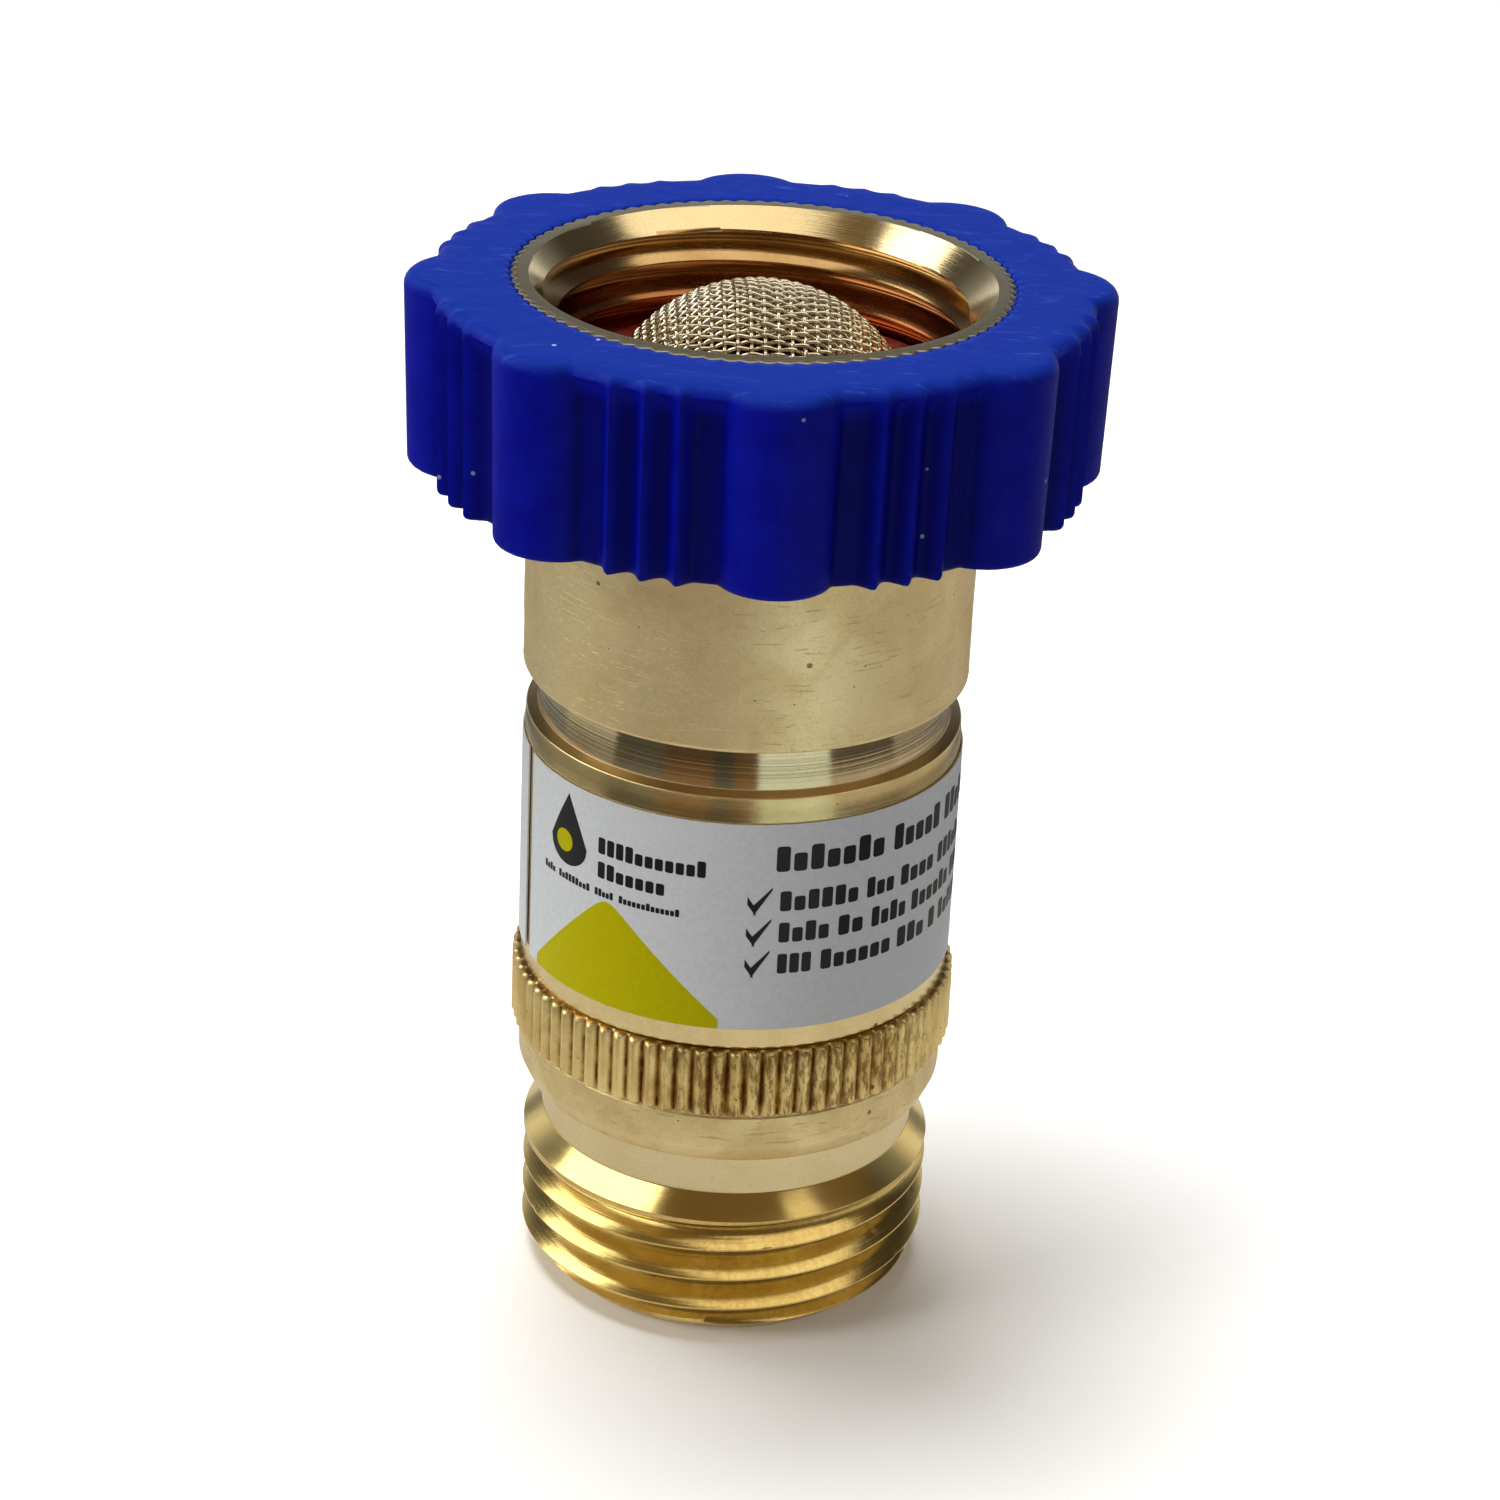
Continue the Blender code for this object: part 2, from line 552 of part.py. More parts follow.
def seat_parts():
    outline = [
        (CARRIER_HOLE_RADIUS, CARRIER_TOP), (CARRIER_RADIUS, CARRIER_TOP),
        (CARRIER_RADIUS, CARRIER_BOTTOM), (CARRIER_RECESS_RADIUS, CARRIER_BOTTOM),
        (CARRIER_RECESS_RADIUS, CARRIER_RECESS_TOP), (CARRIER_HOLE_RADIUS, CARRIER_RECESS_TOP),
    ]
    carrier = turned("seat_carrier", outline, TURNED_BRASS, SMALL_SEGMENTS)
    places = []
    for i in range(PORTS):
        turn = math.tau * (i + 0.5) / PORTS
        places.append((PORT_CIRCLE_RADIUS * math.cos(turn), PORT_CIRCLE_RADIUS * math.sin(turn)))
    drills = rods("port_drill", places, PORT_RADIUS, CARRIER_BOTTOM - 1, CARRIER_TOP + 1)
    boolean(carrier, drills, "DIFFERENCE")
    disc = [(DISC_HOLE_RADIUS, DISC_BOTTOM), (DISC_RADIUS, DISC_BOTTOM),
            (DISC_RADIUS, DISC_TOP), (DISC_HOLE_RADIUS, DISC_TOP)]
    turned("seat_disc", disc, BLACK_RUBBER, SMALL_SEGMENTS)
    screw = [(0, SCREW_HEAD_BOTTOM), (SCREW_FACE_RADIUS, SCREW_HEAD_BOTTOM),
             (SCREW_HEAD_RADIUS, SCREW_CHAMFER_TOP), (SCREW_HEAD_RADIUS, SCREW_HEAD_TOP),
             (SCREW_RADIUS, SCREW_HEAD_TOP), (SCREW_RADIUS, SCREW_TOP), (0, SCREW_TOP)]
    turned("seat_screw", screw, STAINLESS, SMALL_SEGMENTS)
    snap_ring("carrier_retaining_ring", CARRIER_RING_RADII, CARRIER_RING_GROOVE)
    snap_ring("swivel_snap_ring", SWIVEL_RING_RADII, SWIVEL_RING_GROOVE)


def piston():
    head_groove_radius, head_groove_low, head_groove_high = PISTON_SEAL_GROOVE
    stem_groove_radius, stem_groove_low, stem_groove_high = STEM_SEAL_GROOVE
    outline = [
        (STEM_BORE, PISTON_BOTTOM), (PISTON_RADIUS - PISTON_CHAMFER, PISTON_BOTTOM),
        (PISTON_RADIUS, PISTON_BOTTOM + PISTON_CHAMFER), (PISTON_RADIUS, head_groove_low),
        (head_groove_radius, head_groove_low), (head_groove_radius, head_groove_high),
        (PISTON_RADIUS, head_groove_high), (PISTON_RADIUS, PISTON_HEAD_TOP),
        (STEM_RADIUS, PISTON_HEAD_TOP), (STEM_RADIUS, stem_groove_low),
        (stem_groove_radius, stem_groove_low), (stem_groove_radius, stem_groove_high),
        (STEM_RADIUS, stem_groove_high), (STEM_RADIUS, STEM_TAPER_BOTTOM),
        (STEM_TIP_RADIUS, STEM_TIP), (STEM_MOUTH_RADIUS, STEM_TIP),
        (STEM_MOUTH_RADIUS, STEM_MOUTH_BOTTOM), (STEM_BORE, STEM_MOUTH_CONE_BOTTOM),
    ]
    turned("piston", outline, TURNED_BRASS)
    o_ring("stem_o_ring", STEM_O_RING)
    o_ring("piston_o_ring", PISTON_O_RING)
    o_ring("body_o_ring", BODY_O_RING)


def spring():
    """Compression spring with one closed turn at each end."""
    sides = 6
    steps = int(SPRING_TURNS * SPRING_STEPS_PER_TURN)
    free = SPRING_TOP - SPRING_BOTTOM - 2 * WIRE_RADIUS - 2 * CLOSED_PITCH
    open_pitch = free / (SPRING_TURNS - 2)
    shape = bmesh.new()
    slices = []
    for i in range(steps + 1):
        turns = i / SPRING_STEPS_PER_TURN
        closed = min(turns, 1) + max(turns - SPRING_TURNS + 1, 0)
        rise = CLOSED_PITCH * closed + open_pitch * (turns - closed)
        centre = SPRING_BOTTOM + WIRE_RADIUS + rise
        slice_ring = []
        for k in range(sides):
            turn = math.tau * (k + 0.5) / sides
            radius = SPRING_MEAN_RADIUS + WIRE_RADIUS * math.cos(turn)
            height = centre + WIRE_RADIUS * math.sin(turn)
            slice_ring.append(shape.verts.new(polar(radius, 360 * turns, height)))
        slices.append(slice_ring)
    for first, second in zip(slices, slices[1:]):
        join_rings(shape, first, second)
    shape.faces.new(slices[0])
    shape.faces.new(slices[-1])
    finish_object("spring", shape, SPRING_STEEL)
    shim = [(SHIM_INNER_RADIUS, SHIM_BOTTOM), (SHIM_OUTER_RADIUS, SHIM_BOTTOM),
            (SHIM_OUTER_RADIUS, SHIM_TOP), (SHIM_INNER_RADIUS, SHIM_TOP)]
    turned("spring_shim", shim, STAINLESS, SMALL_SEGMENTS)
    bush = [(BUSH_BORE_RADIUS, BUSH_BOTTOM), (BUSH_FLANGE_RADIUS, BUSH_BOTTOM),
            (BUSH_FLANGE_RADIUS, BUSH_FLANGE_TOP), (BUSH_SLEEVE_RADIUS, BUSH_FLANGE_TOP),
            (BUSH_SLEEVE_RADIUS, BUSH_TOP), (BUSH_BORE_RADIUS, BUSH_TOP)]
    turned("guide_bush", bush, WHITE_ACETAL)


clear_scene()
outlet_body()
inlet_body()
label()
swivel_nut()
grip_collar()
screen()
seat_parts()
piston()
spring()
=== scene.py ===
"""Looks of an inline water pressure regulator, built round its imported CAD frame.

The object stands on its outlet end with the flow axis along Z.  Turned parts are
outlines of (radius, height) points in millimetres, swept round the axis; the hose
threads are helical grids, and the screen is woven wire by wire over its dome.
"""
import json
import math

import bmesh
import bpy
import numpy as np
from mathutils import Matrix, Vector


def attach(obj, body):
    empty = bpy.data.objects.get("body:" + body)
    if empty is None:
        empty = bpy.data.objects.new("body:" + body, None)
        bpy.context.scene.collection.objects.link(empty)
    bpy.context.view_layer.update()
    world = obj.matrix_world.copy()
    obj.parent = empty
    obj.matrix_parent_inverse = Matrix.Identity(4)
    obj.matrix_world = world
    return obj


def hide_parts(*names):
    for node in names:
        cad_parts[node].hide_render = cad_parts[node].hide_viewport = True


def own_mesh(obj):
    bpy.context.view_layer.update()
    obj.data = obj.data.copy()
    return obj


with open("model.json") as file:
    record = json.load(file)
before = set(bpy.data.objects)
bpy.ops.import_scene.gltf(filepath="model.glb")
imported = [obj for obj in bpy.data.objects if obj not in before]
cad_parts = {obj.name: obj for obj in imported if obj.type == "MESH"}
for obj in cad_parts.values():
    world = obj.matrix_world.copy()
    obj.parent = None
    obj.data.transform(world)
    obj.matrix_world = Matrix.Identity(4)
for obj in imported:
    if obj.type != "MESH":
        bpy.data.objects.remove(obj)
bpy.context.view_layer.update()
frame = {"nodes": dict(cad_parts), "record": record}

MM = 0.001
WELD = 1e-7
SHARP_ANGLE = math.radians(38)
EDGE = 0.12

# Garden hose thread, 3/4-11.5 NH: stations along one pitch, closer near the crest.
PITCH = 25.4 / 11.5
STATIONS = np.array([0, .024, .04, .08, .15, .24, .34, .43, .5, .57, .66, .76, .85, .92, .96, .976])
CREST_SHARE = 0.952         # share of the half pitch that isn't flat crest
FLANK_CURVE = 0.30          # how far the flanks bulge
ROOT_ROUNDING = 0.16
THREAD_COLUMNS = 384
MALE_MAJOR, MALE_DEPTH, MALE_LEAD = 13.3, 1.43, 1.025
FEMALE_MINOR, FEMALE_DEPTH, FEMALE_LEAD = 12.3, 1.36, 0.9
RUN_OUT = 1.6

# Outlet body.
OUTLET_BORE = 8.75
END_FACE = 11.3
END_SLOPE = 1.1
THREAD_TOP = 9.24
NECK_RADIUS, NECK_BOTTOM = 12.1, 10.68
BAND_RADIUS, BAND_BOTTOM, BAND_TOP = 13.75, 13.76, 22.0
KNURL_BOTTOM, KNURL_TIP, KNURL_ROOT, KNURL_TEETH = 17.33, 14.3, 13.85, 80
SPIGOT_RADIUS = 12.3

# Inlet body.
BARREL_RADIUS, BARREL_TOP = 13.75, 38.2
GROOVE_RADIUS, GROOVE_BOTTOM, GROOVE_TOP = 12.96, 39.45, 42.3
CYLINDER_RADIUS, CYLINDER_TOP = 13.95, 54.9
VENT_RADIUS, VENT_HEIGHT = 0.8, 40.9

# Swivel nut and grip.
MOUTH_RADIUS = 14.1
NUT_THREAD_BOTTOM = 58.4
LOBES, FRONT_LOBE = 8, -85.7
LOBE_CENTRE, LOBE_ROUND = 18.0, 3.52
RIDGE_RADIUS, RIDGE_SPACING, SCALLOP_DEPTH = 20.4, 6.0, 1.10
FLUTE_END, FLUTE_FADE, TOP_FLUTE = 0.7, 1.6, 0.35
SERRATIONS, SERRATION_DEPTH = 88, 0.28

# Woven screen.
WARP_PITCH, WEFT_PITCH, SCREEN_WIRE = 0.78, 0.46, 0.118
WEAVE_FAN = 0.018
WEAVE_TURN = math.radians(3)
DOME_RADIUS, DOME_WIRE_RADIUS = 10.0, 9.84
REBATE_RADIUS, REBATE_BOTTOM = 10.5, 60.1

# Label: the bare strip between its ends.
LABEL_GAP = math.radians(4.0)
LABEL_GAP_CENTRE = math.radians(-160.0)

# Snap rings: where one starts, how far it sweeps, and its steps.
SNAP_START, SNAP_SWEEP, SNAP_STEPS = 110, 320, 120

# Spring: turns, and the pitch of the closed turn at each end.
SPRING_TURNS, CLOSED_PITCH = 5.0, 1.9

# Seat carrier: its ports.
PORTS, PORT_CIRCLE_RADIUS, PORT_RADIUS = 8, 5.9, 1.15

# Stage: height of the cards over the object, in metres; edges of the floor's rings, in mm.
CEILING = 0.62
RING_EDGES = (58, 93, 103, 320)
CARD_STEPS = 24
FLOOR_SIDE = 4.0


# ---------------------------------------------------------------- node helpers

def connect(tree, value, socket):
    """Link a socket, or set a constant."""
    if isinstance(value, bpy.types.NodeSocket):
        tree.links.new(value, socket)
    else:
        socket.default_value = value


def add(tree, kind, settings=(), **inputs):
    """A shader node with its settings and its inputs; _ in an input's name is a space."""
    item = tree.nodes.new("ShaderNode" + kind)
    for name, value in dict(settings).items():
        setattr(item, name, value)
    for name, value in inputs.items():
        connect(tree, value, item.inputs[name.replace("_", " ")])
    return item


def maths(tree, operation, *values):
    item = add(tree, "Math", {"operation": operation})
    for socket, value in zip(item.inputs, values):
        connect(tree, value, socket)
    return item.outputs[0]


def vector_maths(tree, operation, first, second=(0, 0, 0), result=0):
    item = add(tree, "VectorMath", {"operation": operation})
    connect(tree, first, item.inputs[0])
    connect(tree, second, item.inputs[1])
    return item.outputs[result]


def spread(tree, value, low, high, to_low=0.0, to_high=1.0, smooth=True):
    """value from low..high to to_low..to_high, held at the ends."""
    item = add(tree, "MapRange", {"interpolation_type": "SMOOTHSTEP" if smooth else "LINEAR"})
    for name, setting in (("Value", value), ("From Min", low), ("From Max", high),
                          ("To Min", to_low), ("To Max", to_high)):
        connect(tree, setting, item.inputs[name])
    return item.outputs[0]


def blend_colours(tree, factor, first, second):
    item = add(tree, "Mix", {"data_type": "RGBA"})
    for socket, value in zip((item.inputs[0], item.inputs[6], item.inputs[7]),
                             (factor, first, second)):
        if isinstance(value, tuple):
            value = (*value, 1.0)
        connect(tree, value, socket)
    return item.outputs[2]


def places(tree):
    """Object coordinates in millimetres, the radius from the axis and the height."""
    coordinates = add(tree, "TexCoord").outputs["Object"]
    point = vector_maths(tree, "MULTIPLY", coordinates, (1 / MM,) * 3)
    flat = vector_maths(tree, "MULTIPLY", point, (1, 1, 0))
    radius = vector_maths(tree, "LENGTH", flat, result=1)
    height = add(tree, "SeparateXYZ", Vector=point).outputs["Z"]
    return point, radius, height


def noise(tree, point, scale, detail=2.0, roughness=0.5, stretch=(1, 1, 1), distortion=0.0):
    point = vector_maths(tree, "MULTIPLY", point, tuple(scale * s for s in stretch))
    item = add(tree, "TexNoise", Vector=point, Scale=1.0, Detail=detail,
               Roughness=roughness, Distortion=distortion)
    return item.outputs["Fac"]


def line_noise(tree, along, scale, detail=3.0):
    """Noise that changes only along one value, for lines left by turning."""
    along = maths(tree, "MULTIPLY", along, scale)
    item = add(tree, "TexNoise", {"noise_dimensions": "1D"}, W=along, Scale=1.0, Detail=detail,
               Roughness=0.65)
    return item.outputs["Fac"]


def thread_lines(tree, point, height):
    """Tool lines that run along the thread: noise on the share of a pitch."""
    parts = add(tree, "SeparateXYZ", Vector=point)
    angle = maths(tree, "ARCTAN2", parts.outputs["Y"], parts.outputs["X"])
    share = maths(tree, "SUBTRACT", maths(tree, "MULTIPLY", height, math.tau / PITCH), angle)
    ring = add(tree, "CombineXYZ", X=maths(tree, "COSINE", share), Y=maths(tree, "SINE", share))
    return noise(tree, ring.outputs[0], 3.0, 3.0, 0.65)


def pits(tree, point, scale, size, share):
    """Small round pits: one in some of the cells of a Voronoi pattern."""
    cells = add(tree, "TexVoronoi", Vector=vector_maths(tree, "MULTIPLY", point, (scale,) * 3),
                Scale=1.0)
    inside = spread(tree, cells.outputs["Distance"], size, size * 0.55)
    draw = add(tree, "SeparateColor", Color=cells.outputs["Color"]).outputs["Red"]
    return maths(tree, "MULTIPLY", inside, maths(tree, "LESS_THAN", draw, share))


def bump(tree, height, distance, normal=None):
    """A bump of so many millimetres, on top of another one."""
    item = add(tree, "Bump", Height=height, Distance=distance * MM, Strength=1.0)
    if normal is not None:
        tree.links.new(normal, item.inputs["Normal"])
    return item.outputs["Normal"]


def new_material(name):
    material = bpy.data.materials.new(name)
    material.use_nodes = True
    tree = material.node_tree
    return material, tree, tree.nodes["Principled BSDF"]


# ---------------------------------------------------------------- materials

TARNISH = (0.16, 0.075, 0.010)      # brown film on the handled side of the knurl
TARNISH_SIDE = (0.36, -0.93, 0.0)
TOOTH_FOOT_BROWN = (0.20, 0.105, 0.022)        # darker brown towards the foot of the teeth
PAINTED_RED_REFLECTION = (0.34, 0.075, 0.018)   # painted red reflection of the red washer on the brass near it


def brass(name, light, dark, roughness, grain=0.0, turning=0.0, lines_per_mm=6.0,
          blotch=0.5, pit_depth=0.0, pit_share=0.12, scratch=0.0, stain=0.0, helical=False,
          cavity=None, glow=None):
    """Brass with patchy tone, sandy grain, turning lines, pits, scratches and stains.

    cavity is a span of radii that darken inwards, glow a span of heights where a painted red
    reflection of the washer deepens downwards.
    """
    material, tree, shader = new_material(name)
    point, radius, height = places(tree)
    patches = noise(tree, point, 0.22, 4.0, 0.6, distortion=0.4)
    fine = noise(tree, point, 7.0, 3.0, 0.6)
    tone = maths(tree, "MULTIPLY", spread(tree, patches, 0.35, 0.68), blotch)
    colour = blend_colours(tree, tone, light, dark)
    speck = spread(tree, fine, 0.52, 0.72, 0.0, 0.22)
    colour = blend_colours(tree, speck, colour, tuple(c * 0.55 for c in dark))
    gloss = spread(tree, fine, 0.3, 0.7, roughness * 0.9, roughness * 1.12)
    gloss = maths(tree, "ADD", gloss, maths(tree, "MULTIPLY", tone, roughness * 0.18))
    normal = None
    if grain:
        sand = noise(tree, point, 9.0, 3.0, 0.55)
        soft = noise(tree, point, 1.3, 2.0, 0.5)
        normal = bump(tree, sand, grain)
        normal = bump(tree, soft, grain * 2.2, normal)
    if turning:
        if helical:
            lines = thread_lines(tree, point, height)
        else:
            along = maths(tree, "ADD", height, maths(tree, "MULTIPLY", radius, 1.37))
            lines = line_noise(tree, along, lines_per_mm)
        normal = bump(tree, lines, turning, normal)
        gloss = maths(tree, "ADD", gloss, spread(tree, lines, 0.4, 0.75, 0.0, roughness * 0.35))
    if scratch:
        streak = noise(tree, point, 1.0, 2.0, 0.5, (0.55, 0.55, 6.5), 0.6)
        mark = spread(tree, streak, 0.63, 0.70)
        colour = blend_colours(tree, maths(tree, "MULTIPLY", mark, 0.35), colour,
                               tuple(c * 0.5 for c in dark))
        normal = bump(tree, mark, -scratch, normal)
    if pit_depth:
        holes = pits(tree, point, 0.55, 0.11, pit_share)
        holes = maths(tree, "MAXIMUM", holes, pits(tree, point, 1.7, 0.13, pit_share * 0.7))
        colour = blend_colours(tree, maths(tree, "MULTIPLY", holes, 0.75), colour,
                               tuple(c * 0.12 for c in dark))
        normal = bump(tree, holes, -pit_depth, normal)
    if stain:
        flat = vector_maths(tree, "NORMALIZE", vector_maths(tree, "MULTIPLY", point, (1, 1, 0)))
        side = vector_maths(tree, "DOT_PRODUCT", flat, TARNISH_SIDE, 1)
        area = spread(tree, side, 0.60, 0.95)
        dirt = noise(tree, point, 2.4, 4.0, 0.7, (1, 1, 0.3))
        dirt = maths(tree, "MULTIPLY", spread(tree, dirt, 0.42, 0.60, 0.1, 1.0), area)
        colour = blend_colours(tree, maths(tree, "MULTIPLY", dirt, stain), colour, TARNISH)
    # Painted reflection: the brass low in the nut is reddened as if it mirrored the red washer.
    if glow:
        low = spread(tree, height, glow[0], glow[1], 1.0, 0.0)
        colour = blend_colours(tree, low, colour, PAINTED_RED_REFLECTION)
    if cavity:
        # Darker brown towards the foot of the knurl teeth, in patches.
        hollow = spread(tree, radius, cavity[0], cavity[1], 1.0, 0.0)
        worn = spread(tree, noise(tree, point, 0.9, 3.0, 0.6), 0.35, 0.65, 0.45, 1.0)
        colour = blend_colours(tree, maths(tree, "MULTIPLY", hollow, worn), colour, TOOTH_FOOT_BROWN)
    connect(tree, colour, shader.inputs["Base Color"])
    connect(tree, gloss, shader.inputs["Roughness"])
    shader.inputs["Metallic"].default_value = 1.0
    if normal is not None:
        tree.links.new(normal, shader.inputs["Normal"])
    return material


def blue_plastic():
    """Moulded plastic: satin, with painted shade in the flutes, and faint scuffs on the top under a
    painted sheen.
    """
    material, tree, shader = new_material("blue_plastic_moulded")
    point, radius, height = places(tree)
    cloud = noise(tree, point, 0.35, 3.0, 0.6)
    colour = blend_colours(tree, spread(tree, cloud, 0.3, 0.7), (0.0008, 0.0025, 0.30),
                           (0.002, 0.006, 0.37))
    rub = noise(tree, point, 0.8, 4.0, 0.7, (0.4, 2.2, 0.6), 1.4)
    scuffs_and_sheen = spread(tree, rub, 0.56, 0.72)
    # Painted sheen: the top face is tinted paler and its scuffs made stronger, partly real scuffing
    # and partly a painted sheen.
    top_sheen = spread(tree, height, 66.5, 67.3)
    colour = blend_colours(tree, top_sheen, colour, (0.004, 0.020, 0.225))
    scuffs_and_sheen = maths(tree, "MULTIPLY", scuffs_and_sheen, spread(tree, top_sheen, 0.0, 1.0, 0.05, 0.45))
    colour = blend_colours(tree, scuffs_and_sheen, colour, (0.05, 0.10, 0.42))
    # Painted shade: the flutes are darkened below the top face.
    flute_shade = maths(tree, "MULTIPLY", spread(tree, radius, 19.35, 20.15, 1.0, 0.0),
                  spread(tree, height, 65.2, 66.4, 1.0, 0.0))
    colour = blend_colours(tree, maths(tree, "MULTIPLY", flute_shade, 0.75), colour,
                           (0.0003, 0.0010, 0.12))
    nick = pits(tree, point, 0.42, 0.075, 0.16)
    colour = blend_colours(tree, nick, colour, (0.30, 0.36, 0.62))
    fine = noise(tree, point, 11.0, 2.0, 0.5)
    gloss = maths(tree, "ADD", spread(tree, fine, 0.3, 0.7, 0.46, 0.54),
                  maths(tree, "MULTIPLY", scuffs_and_sheen, 0.12))
    normal = bump(tree, fine, 0.006)
    normal = bump(tree, noise(tree, point, 0.6, 2.0), 0.05, normal)
    normal = bump(tree, nick, 0.05, normal)
    connect(tree, colour, shader.inputs["Base Color"])
    connect(tree, gloss, shader.inputs["Roughness"])
    tree.links.new(normal, shader.inputs["Normal"])
    shader.inputs["Specular IOR Level"].default_value = 0.06
    return material


def printed_vinyl(name, colour, roughness=0.38, shine=0.2):
    """Label film or the ink on it: a faint mottle and a slightly uneven gloss."""
    material, tree, shader = new_material(name)
    point = places(tree)[0]
    mottle = noise(tree, point, 3.0, 3.0, 0.6)
    shade = tuple(c * 0.93 for c in colour)
    connect(tree, blend_colours(tree, spread(tree, mottle, 0.35, 0.7), colour, shade),
            shader.inputs["Base Color"])
    connect(tree, spread(tree, mottle, 0.3, 0.7, roughness * 0.9, roughness * 1.1),
            shader.inputs["Roughness"])
    ripple = noise(tree, point, 0.5, 2.0, 0.5)
    tree.links.new(bump(tree, ripple, 0.02), shader.inputs["Normal"])
    shader.inputs["Specular IOR Level"].default_value = shine
    return material


def rubber(name, colour, roughness=0.6):
    """Moulded rubber with a dusty bloom."""
    material, tree, shader = new_material(name)
    point = places(tree)[0]
    bloom = noise(tree, point, 1.6, 4.0, 0.65)
    pale = tuple(c * 0.75 + 0.02 for c in colour)
    connect(tree, blend_colours(tree, spread(tree, bloom, 0.42, 0.72), colour, pale),
            shader.inputs["Base Color"])
    connect(tree, spread(tree, bloom, 0.3, 0.7, roughness * 0.85, roughness * 1.15),
            shader.inputs["Roughness"])
    tree.links.new(bump(tree, noise(tree, point, 12.0, 2.0), 0.008), shader.inputs["Normal"])
    return material


def steel(name, colour, roughness):
    """Drawn or turned steel with faint lines and patchy tone."""
    material, tree, shader = new_material(name)
    point, radius, height = places(tree)
    patches = noise(tree, point, 0.9, 3.0, 0.6)
    shade = tuple(c * 0.72 for c in colour)
    connect(tree, blend_colours(tree, spread(tree, patches, 0.35, 0.7), colour, shade),
            shader.inputs["Base Color"])
    along = maths(tree, "ADD", height, radius)
    lines = line_noise(tree, along, 9.0)
    connect(tree, spread(tree, lines, 0.3, 0.75, roughness * 0.85, roughness * 1.25),
            shader.inputs["Roughness"])
    tree.links.new(bump(tree, lines, 0.004), shader.inputs["Normal"])
    shader.inputs["Metallic"].default_value = 1.0
    return material


def make_materials():
    golden, deep = (0.82, 0.61, 0.22), (0.68, 0.47, 0.14)
    pale, tan = (0.84, 0.67, 0.35), (0.66, 0.49, 0.22)
    return {
        "forged": brass("brass_forged", (0.98, 0.80, 0.46), (0.82, 0.63, 0.32), 0.46, grain=0.014,
                        blotch=0.8, pit_depth=0.06, scratch=0.012),
        "satin": brass("brass_satin", (0.80, 0.66, 0.38), (0.76, 0.60, 0.31), 0.33, grain=0.004,
                       turning=0.003, blotch=0.5, pit_depth=0.02, pit_share=0.05),
        "band": brass("brass_band", pale, tan, 0.36, grain=0.008, turning=0.005, blotch=0.8,
                      pit_depth=0.04, scratch=0.02),
        "thread": brass("brass_thread", (0.72, 0.53, 0.19), (0.58, 0.39, 0.11), 0.18, grain=0.002,
                        turning=0.007, helical=True, blotch=0.6, pit_depth=0.02, pit_share=0.05,
                        stain=0.15),
        "cone": brass("brass_cone", golden, (0.74, 0.55, 0.25), 0.13, turning=0.003, blotch=0.4),
        "groove": brass("brass_groove", (0.80, 0.66, 0.42), (0.70, 0.54, 0.30), 0.10,
                        turning=0.013, lines_per_mm=3.2, blotch=0.5),
        "shoulder": brass("brass_shoulder", pale, tan, 0.18, grain=0.004, turning=0.003,
                          blotch=0.6, pit_depth=0.02, pit_share=0.06),
        "knurl": brass("brass_knurl", (0.92, 0.71, 0.31), (0.72, 0.50, 0.18), 0.33, grain=0.014,
                       blotch=0.9, pit_depth=0.07, pit_share=0.30, stain=0.8,
                       cavity=(13.86, 14.12)),
        "rim": brass("brass_rim", (0.58, 0.53, 0.37), (0.48, 0.43, 0.29), 0.33, turning=0.006,
                     lines_per_mm=9.0, blotch=0.5, pit_depth=0.02, pit_share=0.05),
        "mouth": brass("brass_mouth", (0.80, 0.64, 0.36), (0.70, 0.53, 0.27), 0.14,
                       turning=0.004, blotch=0.4, pit_depth=0.02, pit_share=0.04),
        # Painted shade: the inside of the nut is a darker copy of the mouth's brass, with a painted
        # red reflection low down.
        "inside": brass("brass_inside_painted_shade", (0.60, 0.40, 0.18), (0.44, 0.25, 0.09), 0.14,
                        turning=0.006, helical=True, blotch=0.6, glow=(60.5, 65.5)),
        # Painted shade: a dark brass for the ledge and corner at the foot of the groove.
        "groove_foot_shade": brass("brass_groove_foot_shade", (0.40, 0.29, 0.14), (0.30, 0.20, 0.09), 0.30, turning=0.004),
        "turned": brass("brass_turned", golden, deep, 0.22, turning=0.004, blotch=0.4),
        "blue": blue_plastic(),
        "vinyl": printed_vinyl("label_vinyl_white", (0.80, 0.83, 0.84)),
        "ink_dark": printed_vinyl("label_ink_dark", (0.016, 0.016, 0.018), 0.33),
        "ink_yellow": printed_vinyl("label_ink_yellow", (0.62, 0.55, 0.0), 0.33, 0.05),
        "black_rubber": rubber("rubber_black", (0.018, 0.018, 0.018)),
        "red_rubber": rubber("rubber_red", (0.10, 0.004, 0.002), 0.5),
        "stainless": steel("steel_stainless", (0.62, 0.60, 0.55), 0.28),
        "wire": steel("steel_wire", (0.90, 0.82, 0.66), 0.13),
        "spring": steel("steel_spring", (0.48, 0.48, 0.49), 0.30),
        "acetal": printed_vinyl("acetal_white", (0.82, 0.81, 0.77), 0.42),
    }


# ---------------------------------------------------------------- mesh helpers

def extent(node):
    """Lowest and highest point, inner and outer radius of a CAD node, in millimetres."""
    points = np.array([v.co for v in frame["nodes"][node].data.vertices]) / MM
    radius = np.hypot(points[:, 0], points[:, 1])
    return points[:, 2].min(), points[:, 2].max(), radius.min(), radius.max()


